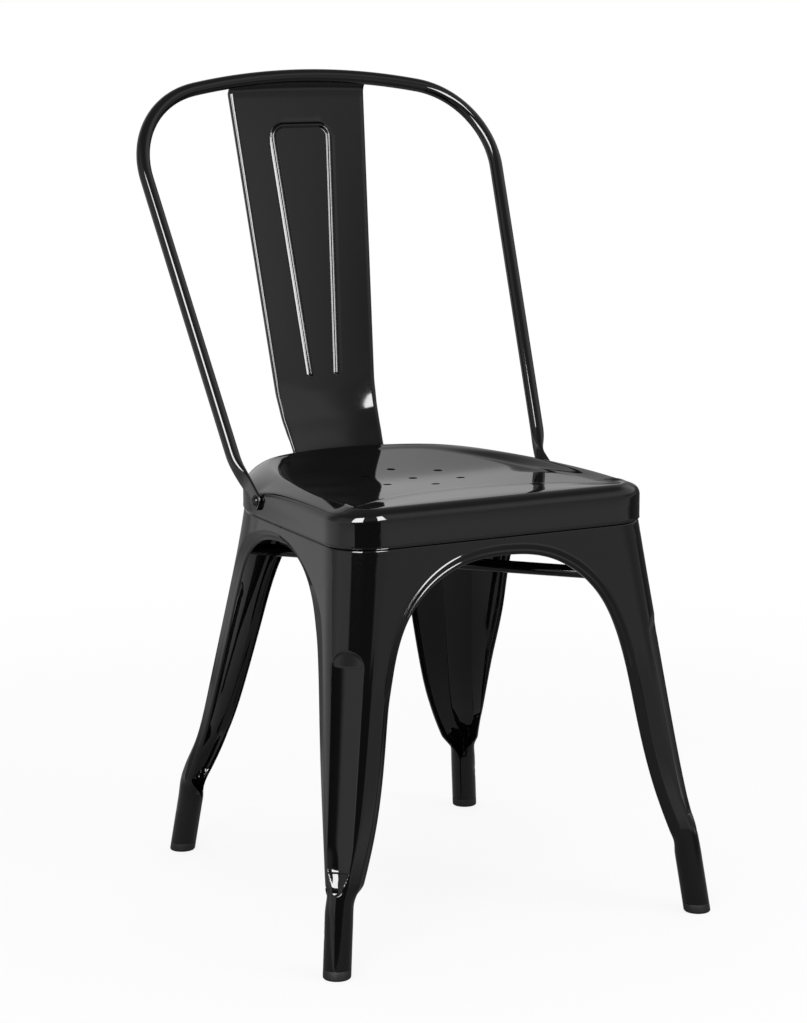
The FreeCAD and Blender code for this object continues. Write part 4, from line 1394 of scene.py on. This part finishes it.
def enamel(name, colour, gloss, ripple):
    """Thick glossy enamel: nearly black, faintly rippled, with a slight unevenness of gloss."""
    material, shader = new_material(name)
    where = shader.where()
    broad = shader.noise(where, 9.0)
    fine = shader.noise(where, 420.0, 1.0)
    orange_peel = shader.noise(where, 95.0, 1.5)
    tint = shader.tint(shader.span(broad, 0.35, 0.65), scaled(colour, 0.92, 0.92, 0.95),
                       scaled(colour, 1.1, 1.08, 1.06))
    shader.surface("ShaderNodeBsdfPrincipled", {
        "Base Color": tint, "IOR": 1.5,
        "Roughness": gloss + 0.02 * shader.span(broad, 0.3, 0.75) + 0.012 * fine,
        "Normal": shader.bump(orange_peel + fine * 0.05, ripple, 0.0006)})
    return material


def moulded_plastic():
    """Dark plastic of the feet, with a fine moulded grain."""
    material, shader = new_material("foot_plastic")
    where = shader.where()
    grain = shader.noise(where, 900.0)
    shader.surface("ShaderNodeBsdfPrincipled", {
        "Base Color": shader.tint(shader.noise(where, 30.0), (0.006, 0.006, 0.0065),
                                  (0.010, 0.010, 0.0105)),
        "Roughness": 0.38 + 0.12 * grain,
        "Normal": shader.bump(grain, 0.12, 0.0003)})
    return material


def plated_steel():
    """Zinc plate on nuts and washers, slightly uneven."""
    material, shader = new_material("plated_steel")
    blotch = shader.noise(shader.where(), 260.0, 3.0)
    shader.surface("ShaderNodeBsdfPrincipled", {
        "Base Color": shader.tint(blotch, (0.42, 0.42, 0.43), (0.62, 0.61, 0.58)),
        "Metallic": 1.0, "Roughness": 0.28 + 0.18 * blotch})
    return material


def paint(piece, material):
    piece.data.materials.clear()
    piece.data.materials.append(material)


# Studio

CAMERA_AT = (-1.31908, -2.49453, 0.93419)
CAMERA_TURN = math.radians(-27.802)
CAMERA_PITCH = math.radians(10.695)
CAMERA_ROLL = math.radians(-0.137)
CAMERA_LENS = 95.19
CAMERA_SENSOR = 36.0


def make_camera():
    turn, pitch, roll = CAMERA_TURN, CAMERA_PITCH, CAMERA_ROLL
    ahead = Vector((-math.sin(turn) * math.cos(pitch), math.cos(turn) * math.cos(pitch),
                    -math.sin(pitch)))
    level = Vector((math.cos(turn), math.sin(turn), 0))
    above = level.cross(ahead)
    right = math.cos(roll) * level + math.sin(roll) * above
    up = -math.sin(roll) * level + math.cos(roll) * above
    data = bpy.data.cameras.new("camera")
    data.lens = CAMERA_LENS
    data.sensor_width = CAMERA_SENSOR
    camera = bpy.data.objects.new("camera", data)
    bpy.context.scene.collection.objects.link(camera)
    facing = Matrix((right, up, -ahead)).transposed().to_4x4()
    camera.matrix_world = Matrix.Translation(CAMERA_AT) @ facing
    bpy.context.scene.camera = camera


def make_world():
    """A grey studio that only the gloss mirrors, paler and darker by bearing, its ceiling dim.

    Bearings and heights are degrees; a bearing is 0 to the chair's front and rises to its left.
    """
    world = bpy.data.worlds.new("studio")
    bpy.context.scene.world = world
    shader = Shader(world)
    x, y, z = shader.parts(shader.where("Generated"))
    degree = 180.0 / math.pi
    bearing = shader.maths("ARCTAN2", -x, -y) * degree
    height = shader.maths("ARCSINE", z) * degree
    aside = shader.maths("ABSOLUTE", bearing)

    def stretch(rise, full, fade, gone):
        """1 on the wall between two bearings, 0 outside them."""
        return shader.span(bearing, rise, full) * (1.0 - shader.span(bearing, fade, gone))

    left = stretch(56.0, 62.0, 95.0, 120.0)
    right = (1.0 - shader.span(bearing, -34.0, -18.0)) * (1.0 - shader.span(aside, 110.0, 140.0))
    rear = shader.span(bearing, 128.0, 146.0) + shader.span(-bearing, 140.0, 165.0)
    low = 1.0 - shader.span(height, 10.0, 17.0)
    gap = stretch(-9.0, -2.0, 60.0, 64.5)
    notch = stretch(157.0, 162.0, 172.0, 178.0)
    far_right = 1.0 - shader.span(-bearing, 130.0, 150.0)
    dim = 0.45 * shader.span(-bearing, 34.0, 60.0) + 0.35 * shader.span(-bearing, 88.0, 115.0)
    wall = 0.42 + 0.26 * left + 0.10 * right + 0.30 * rear + (1.0 - low) * (0.36 * right - 0.12)
    wall = wall * (1.0 - low * (0.9 * gap + dim * far_right + 0.75 * notch))
    ceiling = shader.span(height, 32.0, 58.0)
    studio = wall * (1.0 - ceiling) + 0.20 * ceiling
    seen, mirrored = shader.is_ray("Camera"), shader.is_ray("Glossy")
    strength = seen + (1.0 - seen) * (mirrored * studio + (1.0 - mirrored) * 0.8)
    shader.surface("ShaderNodeBackground", {"Color": (1, 1, 1, 1), "Strength": strength},
                   "ShaderNodeOutputWorld")


def make_panel(name, left, right, low, high, strength):
    """An upright panel beside the camera that only the gloss mirrors; it lights nothing itself."""
    panel = laid_grid(name, [[Vector((*foot, z)) for foot in (left, right)] for z in (low, high)])
    material, shader = new_material(name)
    shader.surface("ShaderNodeEmission", {"Color": (1, 1, 1, 1), "Strength": strength})
    paint(panel, material)
    panel.visible_camera = panel.visible_diffuse = panel.visible_shadow = False


def make_lamp(name, where, power):
    data = bpy.data.lights.new(name, "AREA")
    data.shape = "SQUARE"
    data.size = LAMP_SIZE
    data.energy = power
    lamp = bpy.data.objects.new(name, data)
    bpy.context.scene.collection.objects.link(lamp)
    lamp.location = where
    lamp.rotation_mode = "QUATERNION"
    lamp.rotation_quaternion = (Vector(LAMP_AIM) - Vector(where)).to_track_quat("-Z", "Y")
    lamp.visible_glossy = False


def make_floor():
    """White floor with a trace of the chair's real shadow; the gloss mirrors it with painted light
    and shade, patches of paler and darker grey.
    """
    bpy.ops.object.select_all(action="DESELECT")
    bpy.ops.mesh.primitive_plane_add(size=FLOOR_SIZE, location=(0, 0, 0))
    floor = bpy.context.object
    floor.name = floor.data.name = "floor"
    material, shader = new_material("studio_floor")
    seen = shader.is_ray("Camera")
    where = shader.where()
    x, y, _ = shader.parts(where)
    length = shader.node("ShaderNodeVectorMath", {"operation": "LENGTH"}, {0: where})
    far = Sum(shader, length.outputs["Value"])
    # Painted light and shade on the floor's tone for the gloss: paler patches behind, beside and
    # ahead right of the chair.
    behind = shader.span(y, -0.4, 1.2) * (1.0 - shader.span(x, 0.2, 0.9))
    beside = shader.span(-x, 0.55, 1.15)
    ahead = shader.span(-y, 0.9, 1.6)
    painted_light_ahead_right = ahead * shader.span(x, 0.15, 0.7)
    # Painted shade: a darker patch beside the chair on the right.
    painted_shade_beside_right = (1.0 - ahead) * shader.span(x, 0.45, 0.9)
    # Painted shade: darkens part of the pale patch behind the chair, where the chair would shade
    # the floor.
    shade = shader.span(x + 0.4 * y, -0.31, -0.15) * shader.span(y, 0.5, 0.8)
    painted_light_and_shade = (0.2 + 0.45 * behind * (1.0 - shade) + 0.45 * beside + 0.35 * painted_light_ahead_right
            - 0.2 * painted_shade_beside_right)
    # The camera sees the flat 0.9 tone; all other rays see the painted light and shade.
    floor_tone_and_painted_light = shader.tint(seen + (1.0 - seen) * painted_light_and_shade, (0.1, 0.1, 0.1), (0.9, 0.9, 0.9))
    paper = shader.node("ShaderNodeBsdfDiffuse", {}, {"Color": floor_tone_and_painted_light})
    glow = shader.node("ShaderNodeEmission", {}, {"Color": (1, 1, 1, 1), "Strength": 1.0})
    share = seen * (0.85 + 0.15 * shader.span(far, 0.7, 1.6))
    shader.surface("ShaderNodeMixShader", {0: share, 1: paper.outputs[0], 2: glow.outputs[0]})
    paint(floor, material)


# Left and right foot, lowest and highest edge, and strength
PANELS = {"softbox_left": ((-1.56, -0.95), (-1.045, -1.526), 0.75, 2.25, 21.0),
          "softbox_right": ((0.009, -1.79), (0.54, -1.65), 0.75, 1.85, 20.0),
          "dark_board": ((-1.73, -1.36), (0.39, -2.34), 0.0, 0.42, 0.04)}
LAMP_SIZE = 1.2
FLOOR_SIZE = 60.0
LAMP_AIM = (0, 0, 0.4)
LAMPS = {"lamp_left": ((-1.9, -1.9, 1.9), 22.0), "lamp_right": ((1.7, -2.1, 1.9), 18.0)}
BLACK = (0.0031, 0.0030, 0.0032)


def main():
    bpy.context.scene.view_settings.view_transform = "Standard"
    make_camera()
    make_world()
    make_floor()
    for name, panel in PANELS.items():
        make_panel(name, *panel)
    for name, lamp in LAMPS.items():
        make_lamp(name, *lamp)
    coat = enamel("black_enamel", BLACK, 0.035, 0.025)
    bolt_coat = enamel("bolt_black_enamel", BLACK, 0.07, 0.03)
    plastic = moulded_plastic()
    steel = plated_steel()
    for piece in make_legs() + [make_seat(), make_hoop(), make_splat()]:
        paint(piece, coat)
    for piece in make_bolts():
        paint(piece, bolt_coat)
    for piece in make_glides():
        paint(piece, plastic)
    for name in ("brace_long", "brace_short_front", "brace_short_rear"):
        paint(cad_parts[name], coat)
    for name in ("hoop_nuts", "hoop_washers", "splat_nuts", "splat_washers"):
        paint(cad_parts[name], steel)


main()
